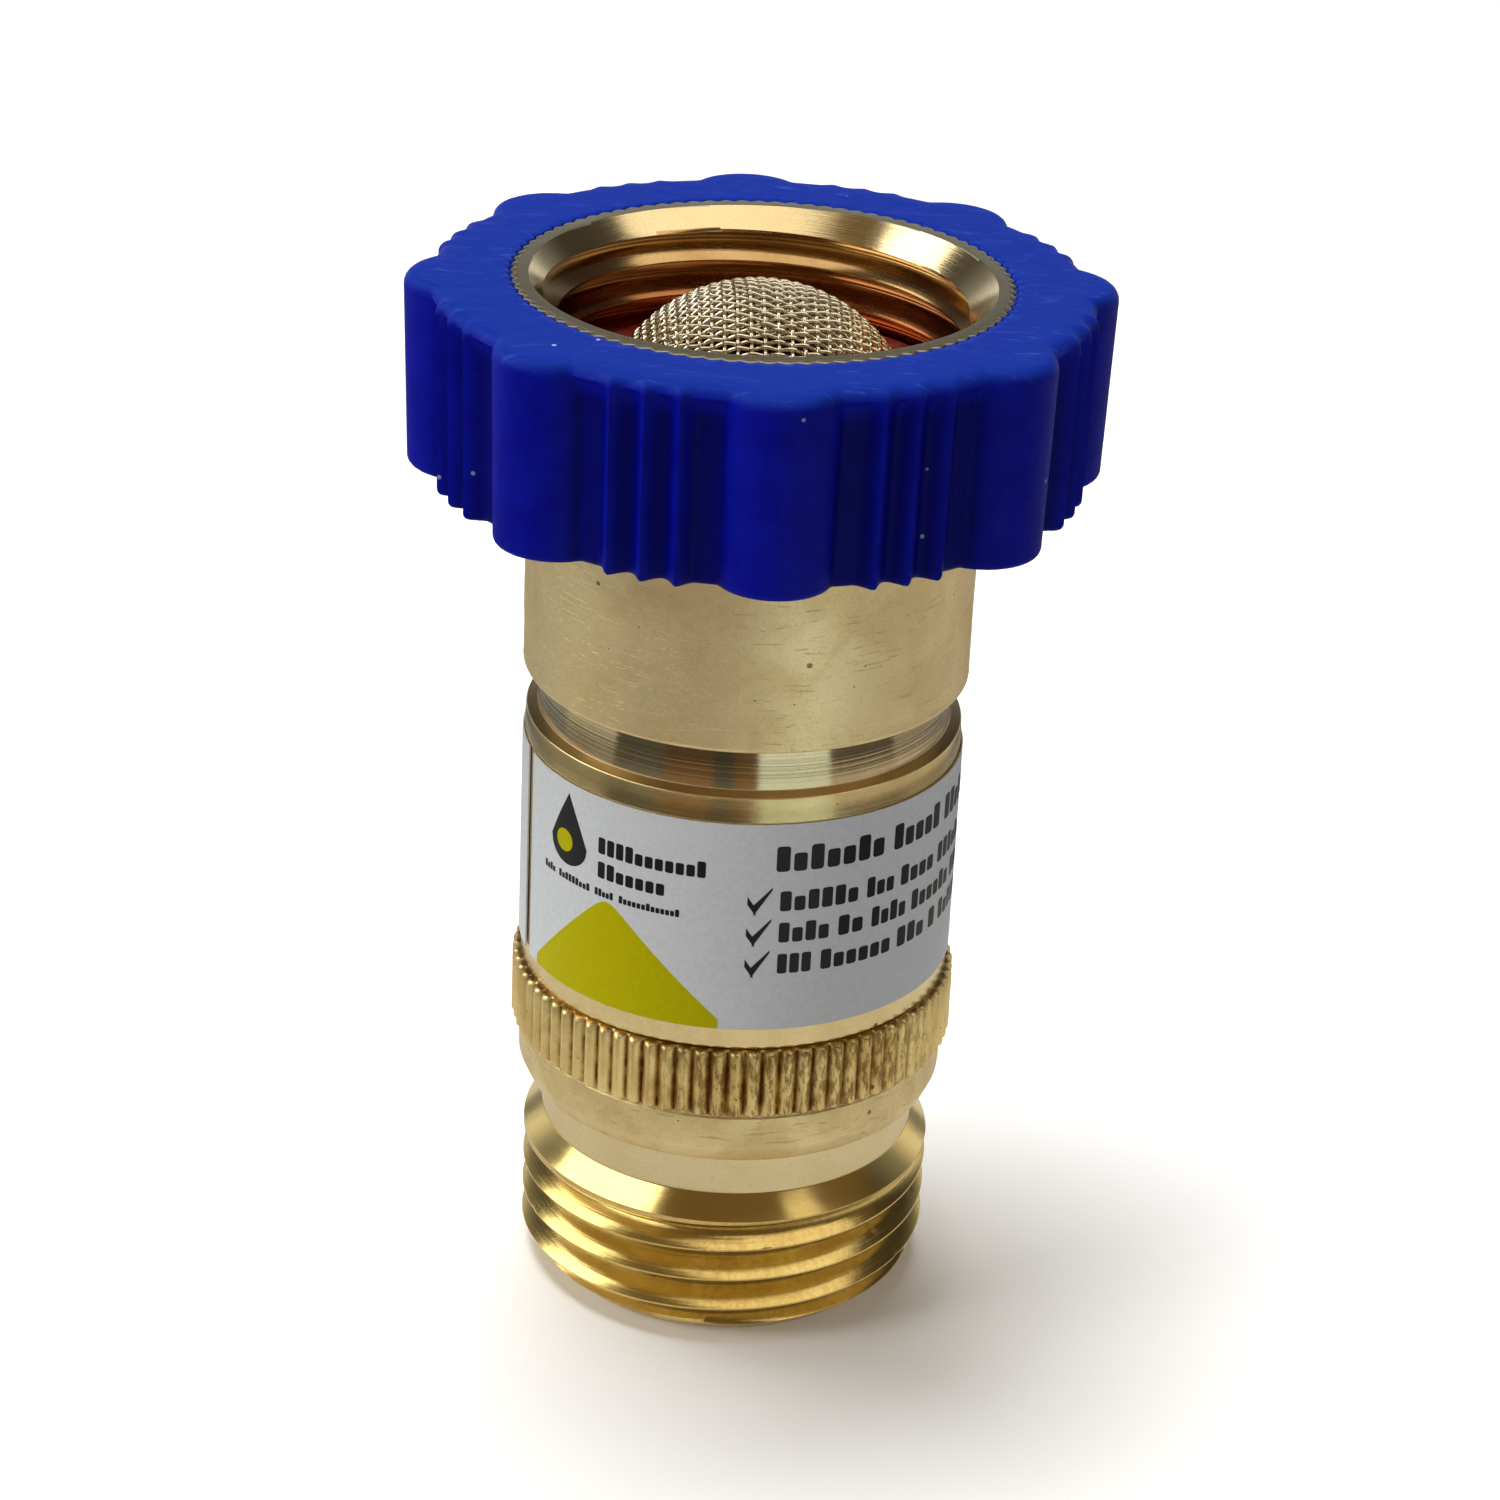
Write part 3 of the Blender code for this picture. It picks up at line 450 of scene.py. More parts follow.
def rounded(corners, steps=4):
    """A closed outline with each corner rounded.

    A corner is (radius, height), rounded by EDGE, or (radius, height, rounding).
    """
    outline = []
    for index, corner in enumerate(corners):
        here = Vector(corner[:2])
        back = Vector(corners[index - 1][:2]) - here
        ahead = Vector(corners[(index + 1) % len(corners)][:2]) - here
        fillet = corner[2] if len(corner) > 2 else EDGE
        half = back.angle(ahead) / 2
        if fillet == 0 or half > math.radians(86):
            outline.append(tuple(here))
            continue
        reach = min(fillet / math.tan(half), 0.45 * back.length, 0.45 * ahead.length)
        radius = reach * math.tan(half)
        middle = (back.normalized() + ahead.normalized()).normalized()
        centre = here + middle * (radius / math.sin(half))
        start = here + back.normalized() * reach - centre
        turn = start.angle_signed(here + ahead.normalized() * reach - centre)
        first = math.atan2(start.y, start.x)
        for step in range(steps + 1):
            angle = first - turn * step / steps
            outline.append((centre.x + radius * math.cos(angle),
                            centre.y + radius * math.sin(angle)))
    return outline


def grid_faces(rows, columns, close_rows, close_columns):
    index = np.arange(rows * columns).reshape(rows, columns)
    if close_rows:
        index = np.vstack((index, index[:1]))
    if close_columns:
        index = np.hstack((index, index[:, :1]))
    corners = (index[:-1, :-1], index[:-1, 1:], index[1:, 1:], index[1:, :-1])
    return np.stack(corners, -1).reshape(-1, 4).tolist()


def around(radius, angle, height):
    return np.stack((radius * np.cos(angle), radius * np.sin(angle), height), -1).reshape(-1, 3)


def lathe(outline, columns, radius_at=None, closed=True):
    """An outline swept round the axis; radius_at(radius, height, angle) reshapes it."""
    angle = np.broadcast_to(np.arange(columns) * math.tau / columns, (len(outline), columns))
    radius, height = (np.repeat(np.array(row, float)[:, None], columns, 1)
                      for row in zip(*outline))
    if radius_at:
        radius = radius_at(radius, height, angle)
    return around(radius, angle, height), grid_faces(len(outline), columns, closed, True)


def thread_grid(columns, bottom, top, lead, radius_at):
    """A right-hand screw thread: rows follow the helix and fold onto its two end rings."""
    turns = math.ceil((top - bottom) / PITCH) + 3
    offsets = (np.arange(turns)[:, None] + STATIONS).ravel() * PITCH
    share = np.tile(STATIONS, turns)[:, None]
    angle = np.linspace(0, math.tau, columns + 1)
    height = bottom - 2 * PITCH + lead + offsets[:, None] + PITCH * angle / math.tau
    height = np.clip(height, bottom, top)
    slope = np.clip(np.abs(2 * share - 1) / CREST_SHARE, 0, 1)
    full = math.hypot(1, ROOT_ROUNDING) - ROOT_ROUNDING
    slope = (np.hypot(slope, ROOT_ROUNDING) - ROOT_ROUNDING) / full
    rise = slope * (1 + FLANK_CURVE - FLANK_CURVE * slope)
    radius = radius_at(height, 1 - rise, angle)
    angle = np.broadcast_to(angle, radius.shape)
    return around(radius, angle, height), grid_faces(len(share), columns + 1, False, False)


def together(*shapes):
    """Several (points, faces) shapes as one."""
    points, faces, first = [], [], 0
    for shape_points, shape_faces in shapes:
        points.append(np.asarray(shape_points, float))
        faces += [[corner + first for corner in face] for face in shape_faces]
        first += len(shape_points)
    return np.vstack(points), faces


def tube(path, radius, sides, closed=False, up=(0, 0, 1)):
    """A round wire along a path of points, with flat ends unless it is closed."""
    path = np.asarray(path, float)
    if closed:
        along = np.roll(path, -1, 0) - np.roll(path, 1, 0)
    else:
        along = np.gradient(path, axis=0)
    along /= np.linalg.norm(along, axis=1)[:, None]
    side = np.cross(along, up)
    side /= np.linalg.norm(side, axis=1)[:, None]
    out = np.cross(side, along)
    turn = np.arange(sides) * math.tau / sides
    ring = side[:, None] * np.cos(turn)[:, None] + out[:, None] * np.sin(turn)[:, None]
    faces = grid_faces(len(path), sides, closed, True)
    if not closed:
        last = (len(path) - 1) * sides
        faces += [list(range(sides)), list(range(last, last + sides))]
    return (path[:, None] + radius * ring).reshape(-1, 3), faces


def placed(name, points, faces):
    """A new object with a mesh of these points, in metres."""
    mesh = bpy.data.meshes.new(name)
    mesh.from_pydata(points, [], faces)
    item = bpy.data.objects.new(name, mesh)
    bpy.context.scene.collection.objects.link(item)
    return item


def face_outward(mesh, weld=0.0):
    draft = bmesh.new()
    draft.from_mesh(mesh)
    if weld:
        bmesh.ops.remove_doubles(draft, verts=draft.verts, dist=weld)
    bmesh.ops.recalc_face_normals(draft, faces=draft.faces)
    draft.to_mesh(mesh)
    draft.free()


def piece(name, shape, node, kinds, zone=None, sharp=SHARP_ANGLE):
    """A finished piece that stands for a CAD node and rides on its body.

    kinds names its materials; zone(radius, height) picks one of them for each face.
    """
    points, faces = shape
    item = placed(name, (points * MM).tolist(), faces)
    mesh = item.data
    face_outward(mesh, WELD)
    mesh.shade_smooth()
    mesh.set_sharp_from_angle(angle=sharp)
    for kind in kinds:
        mesh.materials.append(MATERIALS[kind])
    if zone:
        for polygon in mesh.polygons:
            centre = polygon.center / MM
            polygon.material_index = zone(math.hypot(centre.x, centre.y), centre.z)
    body = next(b for b, nodes in frame["record"]["behaviour"]["bodies"].items() if node in nodes)
    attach(item, body)
    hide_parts(node)
    return item


def turned(name, corners, columns, node, kind):
    """A turned piece, from the corners of its outline."""
    return piece(name, lathe(rounded(corners), columns), node, [kind])


def cut(item, *tools):
    """Cut closed tool shapes out of a piece, then drop the tools."""
    for points, faces in tools:
        tool = placed("tool", (points * MM).tolist(), faces)
        face_outward(tool.data)
        change = item.modifiers.new("cut", "BOOLEAN")
        change.object = tool
        evaluated = item.evaluated_get(bpy.context.evaluated_depsgraph_get())
        result = bpy.data.meshes.new_from_object(evaluated)
        item.modifiers.clear()
        item.data = result
        bpy.data.objects.remove(tool)
    item.data.shade_smooth()
    item.data.set_sharp_from_angle(angle=SHARP_ANGLE)


def rod(start, end, radius, sides=32):
    return tube([start, end], radius, sides, up=(0.3, 0.5, 0.8))


# ---------------------------------------------------------------- bodies

def nicks(radius, height, angle, seed, count, low, high, depth):
    """Small dents at random places of a surface."""
    random = np.random.default_rng(seed)
    for _ in range(count):
        at_angle = random.uniform(0, math.tau)
        at_height = random.uniform(low, high)
        width = random.uniform(0.12, 0.4)
        across = (np.angle(np.exp(1j * (angle - at_angle))) * radius) / width
        up = (height - at_height) / (0.5 * width)
        radius = radius - depth * random.uniform(0.4, 1) * np.exp(-across ** 2 - up ** 2)
    return radius


def male_thread(height, groove, angle):
    run_out = np.clip((THREAD_TOP - height) / RUN_OUT, 0, 1)
    thread = MALE_MAJOR - MALE_DEPTH * groove * run_out
    radius = np.minimum(thread, END_FACE + END_SLOPE * height)
    worn = nicks(radius, height, angle, 3, 26, 1.5, 8.8, 0.12)
    return np.where((height > 0.4) & (height < THREAD_TOP - 0.2), worn, radius)


def outlet_body():
    outline = rounded([
        (MALE_MAJOR, THREAD_TOP, 0), (NECK_RADIUS, NECK_BOTTOM, 0.25),
        (NECK_RADIUS, BAND_BOTTOM, 0.2), (BAND_RADIUS - 0.5, BAND_BOTTOM, 0.25),
        (BAND_RADIUS, BAND_BOTTOM + 1.1, 0.9), (BAND_RADIUS, KNURL_BOTTOM - 0.28, 0.05),
        (BAND_RADIUS - 0.1, KNURL_BOTTOM - 0.14, 0.05), (BAND_RADIUS, KNURL_BOTTOM, 0.05),
        (BAND_RADIUS, BAND_TOP), (SPIGOT_RADIUS, BAND_TOP), (SPIGOT_RADIUS, 24.4),
        (11.15, 24.4), (11.15, 25.9), (SPIGOT_RADIUS, 25.9), (SPIGOT_RADIUS, 27.5, 0.3),
        (10.2, 27.5, 0.3), (10.2, 18.5), (OUTLET_BORE, 18.5),
        (OUTLET_BORE, 0.4, 0.1), (OUTLET_BORE + 0.4, 0, 0.1), (END_FACE, 0, 0),
    ])

    def forged(radius, height, angle):
        """The unturned band is a little uneven."""
        band = (radius > NECK_RADIUS + 0.5) & (height > BAND_BOTTOM) & (height < BAND_TOP - 0.5)
        wave = 0.012 * np.sin(3 * angle + 0.4 * height) + 0.008 * np.sin(7 * angle - height)
        dented = nicks(radius + wave, height, angle, 11, 14, 14.5, 17.2, 0.05)
        return np.where(band, dented, radius)

    body = lathe(outline, THREAD_COLUMNS, forged, closed=False)
    thread = thread_grid(THREAD_COLUMNS, 0, THREAD_TOP, MALE_LEAD, male_thread)

    def zone(radius, height):
        if radius < OUTLET_BORE + 0.5 or height > BAND_TOP - 0.05:
            return 4
        limits = ((THREAD_TOP, 0), (NECK_BOTTOM, 1), (BAND_BOTTOM, 2), (BAND_TOP, 3))
        return next(index for limit, index in limits if height <= limit)

    kinds = ("thread", "cone", "satin", "band", "turned")
    piece("outlet_body_detail", together(body, thread), "outlet_body", kinds, zone)

    outline = [(13.4, 17.40), (13.74, 17.33), (14.12, 17.40), (14.27, 17.55), (KNURL_TIP, 17.75),
               (KNURL_TIP, 19.0), (KNURL_TIP, 20.3), (KNURL_TIP, 21.55), (14.27, 21.75),
               (14.12, 21.9), (13.74, BAND_TOP), (13.4, BAND_TOP - 0.07)]
    columns = KNURL_TEETH * 10
    random = np.random.default_rng(5)
    tooth_height = random.uniform(0.90, 1.0, KNURL_TEETH)
    tooth_skew = random.uniform(-0.08, 0.08, KNURL_TEETH)

    def knurled(radius, height, angle):
        share = angle * KNURL_TEETH / math.tau
        tooth = share.astype(int) % KNURL_TEETH
        side = np.abs(2 * (share % 1) - 1 + tooth_skew[tooth] * (1 - np.abs(2 * (share % 1) - 1)))
        depth = (KNURL_TIP - KNURL_ROOT) / (KNURL_TIP - 13.72)
        profile = tooth_height[tooth] * (1 - depth * side ** 1.6)
        shaped = 13.72 + (radius - 13.72) * profile
        shaped = nicks(shaped, height, angle, 21, 60, 17.5, 21.8, 0.10)
        return np.where(radius > 13.73, shaped, radius)

    piece("outlet_knurl", lathe(outline, columns, knurled), "outlet_body",
          ["knurl"])


def inlet_body():
    rows = [GROOVE_TOP + 0.35 + 0.6 * i for i in range(20)]
    outline = rounded([
        (12.4, 22.05), (BARREL_RADIUS, 22.05, 0.2), (BARREL_RADIUS, BARREL_TOP, 0),
        (BARREL_RADIUS - 0.05, GROOVE_BOTTOM - 0.2, 0.08), (GROOVE_RADIUS, GROOVE_BOTTOM, 0.1),
        (GROOVE_RADIUS, GROOVE_TOP, 0.1), (CYLINDER_RADIUS, GROOVE_TOP, 0.3),
        *[(CYLINDER_RADIUS, height, 0) for height in rows[1:]],
        (CYLINDER_RADIUS, CYLINDER_TOP, 0.4), (10.3, CYLINDER_TOP), (10.3, 56.75, 0.05),
        (9.7, 56.75, 0.05), (9.7, 57.55, 0.05), (10.3, 57.55, 0.05), (10.3, 57.9), (8.4, 57.9),
        (8.4, 54.15, 0.05), (9.0, 54.15, 0.05), (9.0, 53.25, 0.05), (8.4, 53.25, 0.05),
        (8.4, 50.2), (7.2, 50.2), (7.2, 48.0, 0.4), (4.1, 48.0), (4.1, 44.4), (5.25, 44.4),
        (5.25, 43.0), (10.6, 43.0, 0.5), (10.6, 28.0), (12.4, 28.0),
    ])

    def forged(radius, height, angle):
        """Low waves and dents of a forging on the cylinder under the grip."""
        fade = np.clip((height - GROOVE_TOP - 0.3) / 1.5, 0, 1)
        wave = 0.03 * np.sin(2 * angle + 0.3 * height) + 0.016 * np.sin(5 * angle - 0.7 * height)
        wave += 0.008 * np.sin(11 * angle + 1.3 * height)
        shaped = radius + (wave - 0.03) * fade
        shaped = nicks(shaped, height, angle, 8, 40, 43.2, 54.0, 0.06)
        return np.where((radius > 13.5) & (fade > 0), shaped, radius)

    def zone(radius, height):
        if radius < 12.5 or height > CYLINDER_TOP - 0.1:
            return 3
        # Index 4 is painted shade on the ledge at the foot of the groove.
        limits = ((GROOVE_BOTTOM - 0.15, 1), (GROOVE_BOTTOM + 0.06, 4), (GROOVE_TOP - 0.02, 2))
        return next((index for limit, index in limits if height <= limit), 0)

    kinds = ("forged", "shoulder", "groove", "turned", "groove_foot_shade")
    item = piece("inlet_body_detail", lathe(outline, 320, forged), "inlet_body",
                 kinds, zone)
    cut(item, rod((0, 9.0, VENT_HEIGHT), (0, 15.0, VENT_HEIGHT), VENT_RADIUS))


# ---------------------------------------------------------------- label

def wrapped(angles, lows, highs, inner, outer):
    """A thin closed strip on the barrel between a lower and an upper edge."""
    angles = np.radians(np.asarray(angles, float))
    lows, highs = (np.broadcast_to(np.asarray(v, float), angles.shape) for v in (lows, highs))
    columns = [around(r, angles, z) for r, z in
               ((inner, lows), (outer, lows), (outer, highs), (inner, highs))]
    points = np.stack(columns, 1).reshape(-1, 3)
    last = 4 * (len(angles) - 1)
    faces = grid_faces(len(angles), 4, False, True)
    return points, faces + [[0, 1, 2, 3], [last, last + 1, last + 2, last + 3]]


def block(start, stop, low, high, inner, outer):
    """A printed block with rounded corners."""
    angles = start + (stop - start) * (1 - np.cos(np.linspace(0, math.pi, 8))) / 2
    corner = 0.22 * min(high - low, math.radians(stop - start) * outer)
    per_mm = math.degrees(1 / outer)
    inset = np.clip(1 - np.minimum(angles - start, stop - angles) / (corner * per_mm), 0, 1)
    drop = corner * (1 - np.sqrt(1 - inset ** 2)) * 0.98
    return wrapped(angles, low + drop, high - drop, inner, outer)


def word(start, stop, low, high, inner, outer, random):
    """Plain blocks in the place of a word, some as tall as a capital, most lower."""
    count = max(1, round((stop - start) / (2.55 * (high - low))))
    step = (stop - start) / count
    blocks = []
    for number in range(count):
        tall = number == 0 or random.random() < 0.36
        roof = high if tall else low + 0.72 * (high - low)
        left = start + step * number
        blocks.append(block(left, left + step * 0.78, low, roof, inner, outer))
    return blocks


def label():
    low, high, inner, outer = extent("label")
    start = LABEL_GAP_CENTRE + LABEL_GAP / 2
    stop = LABEL_GAP_CENTRE + math.tau - LABEL_GAP / 2
    angles = np.degrees(np.linspace(start, stop, 300))
    piece("label_film", wrapped(angles, low, high, inner, outer - 0.02), "label",
          ["vinyl"])
    film, ink = outer - 0.025, outer - 0.005

    # Text as plain bars: (start angle, bottom, top, word lengths and gaps in degrees).
    lines = [
        (-80.0, 34.45, 36.15, (31.0, 20.5, 33.0), 2.6),
        (-78.6, 31.75, 33.1, (22.0, 9.5, 15.0, 21.0), 2.0),
        (-78.6, 29.6, 30.95, (14.0, 8.0, 12.5, 21.0, 10.0), 2.0),
        (-78.6, 27.45, 28.8, (9.5, 22.0, 12.0, 4.0, 18.0), 2.0),
        (-127.5, 33.85, 34.95, (30.5,), 2.0),
        (-127.5, 32.2, 33.3, (20.0,), 2.0),
        (-148.5, 30.95, 31.45, (5.0, 12.0, 6.0, 17.0), 1.6),
    ]
    random = np.random.default_rng(17)
    shapes = []
    for start, bottom, top, words, space in lines:
        for length in words:
            shapes += word(start, start + length, bottom, top, film, ink, random)
            start += length + space
    for bottom in (31.75, 29.6, 27.45):
        down = np.linspace(-86.9, -84.7, 8)
        fall = bottom + 0.72 - 0.36 * (down + 86.9)
        shapes.append(wrapped(down, fall - 0.22, fall + 0.30, film, ink))
        up = np.linspace(-85.3, -80.7, 12)
        rise = bottom - 0.28 + 0.38 * (up + 85.3)
        shapes.append(wrapped(up, rise, rise + 0.72 - 0.12 * (up + 85.3), film, ink))
    # A plain water drop beside the bars: a point above a round belly.
    centre, belly, tip = -138.5, 33.6, 36.9
    half = np.linspace(-1, 1, 41)
    width = 7.0
    lower = belly - 1.55 * np.sqrt(np.clip(1 - half ** 2, 0, 1)) - 0.01
    upper = belly + (tip - belly) * (1 - np.abs(half)) ** 1.25
    upper += 0.9 * (1 - half ** 2) * np.abs(half)
    shapes.append(wrapped(centre + width * half, lower, upper + 0.01, film, ink))
    piece("label_print_dark", together(*shapes), "label", ["ink_dark"],
          sharp=math.radians(50))

    spot = wrapped(centre - 1.4 + 3.2 * half, belly - 0.75 * np.sqrt(1 - half ** 2 * 0.999),
                   belly + 0.75 * np.sqrt(1 - half ** 2 * 0.999), ink - 0.005, ink + 0.004)
    left, apex, right = -152.5, -124.5, -93.0
    base, peak, rounding = low + 0.02, 30.7, 2.6
    angles = np.linspace(left, right, 70)
    slope = np.where(angles < apex, (apex - angles) / (apex - left),
                     (angles - apex) / (right - apex))
    roof = peak - (peak - base) * (np.sqrt(slope ** 2 + (rounding / 28) ** 2) - rounding / 28)
    hill = wrapped(angles, base, np.maximum(roof, base + 0.02), film, ink)
    piece("label_print_yellow", together(hill, spot), "label",
          ["ink_yellow"], sharp=math.radians(50))


# ---------------------------------------------------------------- swivel

def female_thread(bottom, top):
    def radius_at(height, groove, angle):
        run_out = np.clip((height - bottom) / RUN_OUT, 0, 1)
        thread = FEMALE_MINOR + FEMALE_DEPTH * groove * run_out
        return np.maximum(thread, MOUTH_RADIUS - (top - height))
    return radius_at


def swivel_nut():
    bottom, top, lip, outer = extent("swivel_nut")
    outline = rounded([
        (FEMALE_MINOR, NUT_THREAD_BOTTOM, 0), (FEMALE_MINOR, 56.7, 0.2), (lip, 56.7, 0.2),
        (lip, bottom, 0.3), (outer - 0.3, bottom, 0.4), (outer - 0.3, top - 1.0, 0.05),
        (outer - 0.47, top - 0.9, 0.05), (outer - 0.47, top, 0.01), (MOUTH_RADIUS, top, 0),
    ])
    body = lathe(outline, THREAD_COLUMNS, closed=False)
    thread = thread_grid(THREAD_COLUMNS, NUT_THREAD_BOTTOM, top, FEMALE_LEAD,
                         female_thread(NUT_THREAD_BOTTOM, top))

    def zone(radius, height):
        if height > top - 0.04 or radius > outer - 0.4:
            return 0
        cone = MOUTH_RADIUS - (top - height)
        return 1 if abs(radius - cone) < 0.03 and height > top - 1.9 else 2

    kinds = ("rim", "mouth", "inside")
    piece("swivel_nut_detail", together(body, thread), "swivel_nut", kinds, zone)

    profile = [(outer - 0.6, bottom + 0.6), (outer - 0.25, bottom + 0.5), (outer, bottom + 0.8),
               (outer, 61.0), (outer, 64.0), (outer, top - 0.16), (outer - 0.05, top - 0.05),
               (outer - 0.15, top), (outer - 0.46, top), (outer - 0.5, top - 0.4),
               (outer - 0.6, top - 0.85)]

    def knurled(radius, height, angle):
        return np.where(radius > outer - 0.2, radius - serration(angle), radius)

    piece("swivel_nut_knurl", lathe(profile, SERRATIONS * 8, knurled), "swivel_nut",
          ["rim"])


def serration(angle):
    """How deep the nut's serrations cut in at an angle."""
    side = np.abs(2 * ((angle * SERRATIONS / math.tau) % 1) - 1)
    return SERRATION_DEPTH * side ** 1.3


def grip_outline(angle, height, bottom, top):
    """Outer radius of the grip: lobes with draft, and scallops with rounded ridges between."""
    sector = 360 / LOBES
    degrees = np.degrees(angle)
    from_lobe = (degrees - FRONT_LOBE + sector / 2) % sector - sector / 2
    turn = np.radians(from_lobe)
    draft = 0.28 * (top - height) / (top - bottom)
    reach = LOBE_ROUND ** 2 - (LOBE_CENTRE * np.sin(turn)) ** 2
    lobe = LOBE_CENTRE * np.cos(turn) + np.sqrt(np.maximum(reach, 0)) - draft
    from_ridge = np.minimum(sector / 2 - np.abs(from_lobe), 1.5 * RIDGE_SPACING)
    wave = np.sqrt(np.sin(math.pi * from_ridge / RIDGE_SPACING) ** 2 + 0.02) - 0.12
    fade = np.clip((top - height - FLUTE_END) / FLUTE_FADE, 0, 1)
    fade = TOP_FLUTE + (1 - TOP_FLUTE) * np.sqrt(1 - (1 - fade) ** 2)
    scallop = RIDGE_RADIUS - draft * 0.6 - SCALLOP_DEPTH * wave * fade
    softness = 0.10
    return softness * np.logaddexp(lobe / softness, scallop / softness)


def grip_collar():
    bottom, top, bore, _ = extent("grip_collar")
    columns = SERRATIONS * 9
    curve = [math.radians(90 * i / 6) for i in range(7)]
    lower = [(-0.5 * (1 - math.sin(t)), bottom + 0.5 * (1 - math.cos(t))) for t in curve]
    upper = [(-0.85 * (1 - math.cos(t)), top - 0.85 * (1 - math.sin(t))) for t in curve]
    sides = [(0, bottom + 0.5 + (top - bottom - 2.9) * i / 6) for i in range(1, 7)]
    ends = [(0, top - level) for level in (2.25, 2.1, 1.9, 1.7, 1.5, 1.3, 1.1)]
    rows = lower + sides + ends + upper
    angle = np.arange(columns) * math.tau / columns
    radius, height = [], []
    for inset, level in rows:
        radius.append(grip_outline(angle, level, bottom, top) + inset)
        height.append(np.full(columns, level))
    edge = radius[-1]
    for share in (0.25, 0.6, 0.92, 1.0):
        radius.append(edge + (bore + 0.10 - 0.8 * serration(angle) - edge) * share)
        height.append(np.full(columns, top))
    inner = ((bore + 0.03, top - 0.08, 1.0), (bore - 0.02, top - 0.25, 1.0),
             (bore - 0.02, top - 1.2, 1.0), (bore + 0.01, top - 1.6, 0.0),
             (bore + 0.01, bottom + 0.3, 0.0), (bore + 0.3, bottom, 0.0))
    for reach, level, share in inner:
        radius.append(reach - share * serration(angle))
        height.append(np.full(columns, level))
    radius, height = np.array(radius), np.array(height)
    points = around(radius, np.broadcast_to(angle, radius.shape), height)
    piece("grip_collar_detail", (points, grid_faces(len(radius), columns, True, True)),
          "grip_collar", ["blue"], sharp=math.radians(50))


# ---------------------------------------------------------------- screen

def dome_point(across, along, lift, centre, radius, edge):
    """A point of the woven sheet laid over the dome, with a flat margin past its edge."""
    reach = np.hypot(across, along)
    across = across * (1 - WEAVE_FAN * along)
    facing = np.arctan2(along, across) + WEAVE_TURN
    tilt = np.minimum(reach, edge) / radius
    past = np.maximum(reach - edge, 0)
    flat = (radius + lift) * np.sin(tilt) + past
    height = centre + (radius + lift) * np.cos(tilt)
    return np.stack((flat * np.cos(facing), flat * np.sin(facing), height), -1)


def screen():
    low, high, _, outer = extent("screen_mesh")
    dome = DOME_WIRE_RADIUS
    centre = high - DOME_RADIUS
    edge = dome * math.acos((low + 0.12 - centre) / dome)
    reach_limit = edge + outer - dome * math.sin(edge / dome) - 0.1
    shapes = []
    families = ((WARP_PITCH, WEFT_PITCH, 1), (WEFT_PITCH, WARP_PITCH, -1))
    for pitch, crossing, sign in families:
        count = int(reach_limit / pitch)
        for number in range(-count, count + 1):
            offset = number * pitch
            half = math.sqrt(max(reach_limit ** 2 - offset ** 2, 0))
            if half < crossing:
                continue
            steps = int(2 * half / crossing * 5) + 2
            along = np.linspace(-half, half, steps)
            wave = sign * (-1) ** number * np.cos(math.pi * along / crossing)
            lift = SCREEN_WIRE * 0.98 * wave
            fixed = np.full_like(along, offset)
            ordered = (fixed, along) if sign > 0 else (along, fixed)
            path = dome_point(*ordered, lift, centre, dome, edge)
            shapes.append(tube(path, SCREEN_WIRE, 6, up=(0.013, 0.021, 1)))
    piece("screen_mesh_wires", together(*shapes), "screen_mesh",
          ["wire"], sharp=math.radians(80))

    low, high, inner, outer = extent("screen_gasket")
    corners = [(inner, low), (outer, low, 0.25), (outer, high, 0.25), (REBATE_RADIUS, high, 0.1),
               (REBATE_RADIUS, REBATE_BOTTOM, 0.05), (inner, REBATE_BOTTOM)]
    turned("screen_gasket_washer", corners, 160, "screen_gasket", "red_rubber")

    low, high, inner, outer = extent("screen_rim")
    corners = [(inner, low, 0.08), (outer, low, 0.3), (outer, high, 0.3), (inner + 0.2, high, 0.08),
               (inner + 0.2, high - 0.2, 0.08), (outer - 0.25, high - 0.2, 0.05),
               (outer - 0.25, low + 0.2, 0.05), (inner, low + 0.2, 0.08)]
    turned("screen_rim_crimped", corners, 160, "screen_rim", "stainless")


# ---------------------------------------------------------------- inner pieces

def seal(node):
    """An O-ring of round section, as big as its CAD node."""
    low, high, inner, outer = extent(node)
    cord, middle, level = (outer - inner) / 2, (outer + inner) / 2, (low + high) / 2
    section = [(middle + cord * math.cos(t), level + cord * math.sin(t))
               for t in np.arange(20) * math.tau / 20]
    piece(node + "_seal", lathe(section, 128), node, ["black_rubber"])


def open_ring(node):
    """A snap ring: a rounded section swept most of a turn, with the gap of its CAD node."""
    low, high, inner, outer = extent(node)
    section = np.array(rounded([(inner, low), (outer, low), (outer, high), (inner, high)]))
    angle = np.radians(SNAP_START + np.linspace(0, SNAP_SWEEP, SNAP_STEPS))[:, None]
    radius, height = (np.broadcast_to(v, (SNAP_STEPS, len(section))) for v in section.T)
    points = around(radius, np.broadcast_to(angle, radius.shape), height)
    sides = len(section)
    last = (SNAP_STEPS - 1) * sides
    faces = grid_faces(SNAP_STEPS, sides, False, True)
    faces += [list(range(sides)), list(range(last, last + sides))]
    piece(node + "_wire", (points, faces), node, ["spring"])


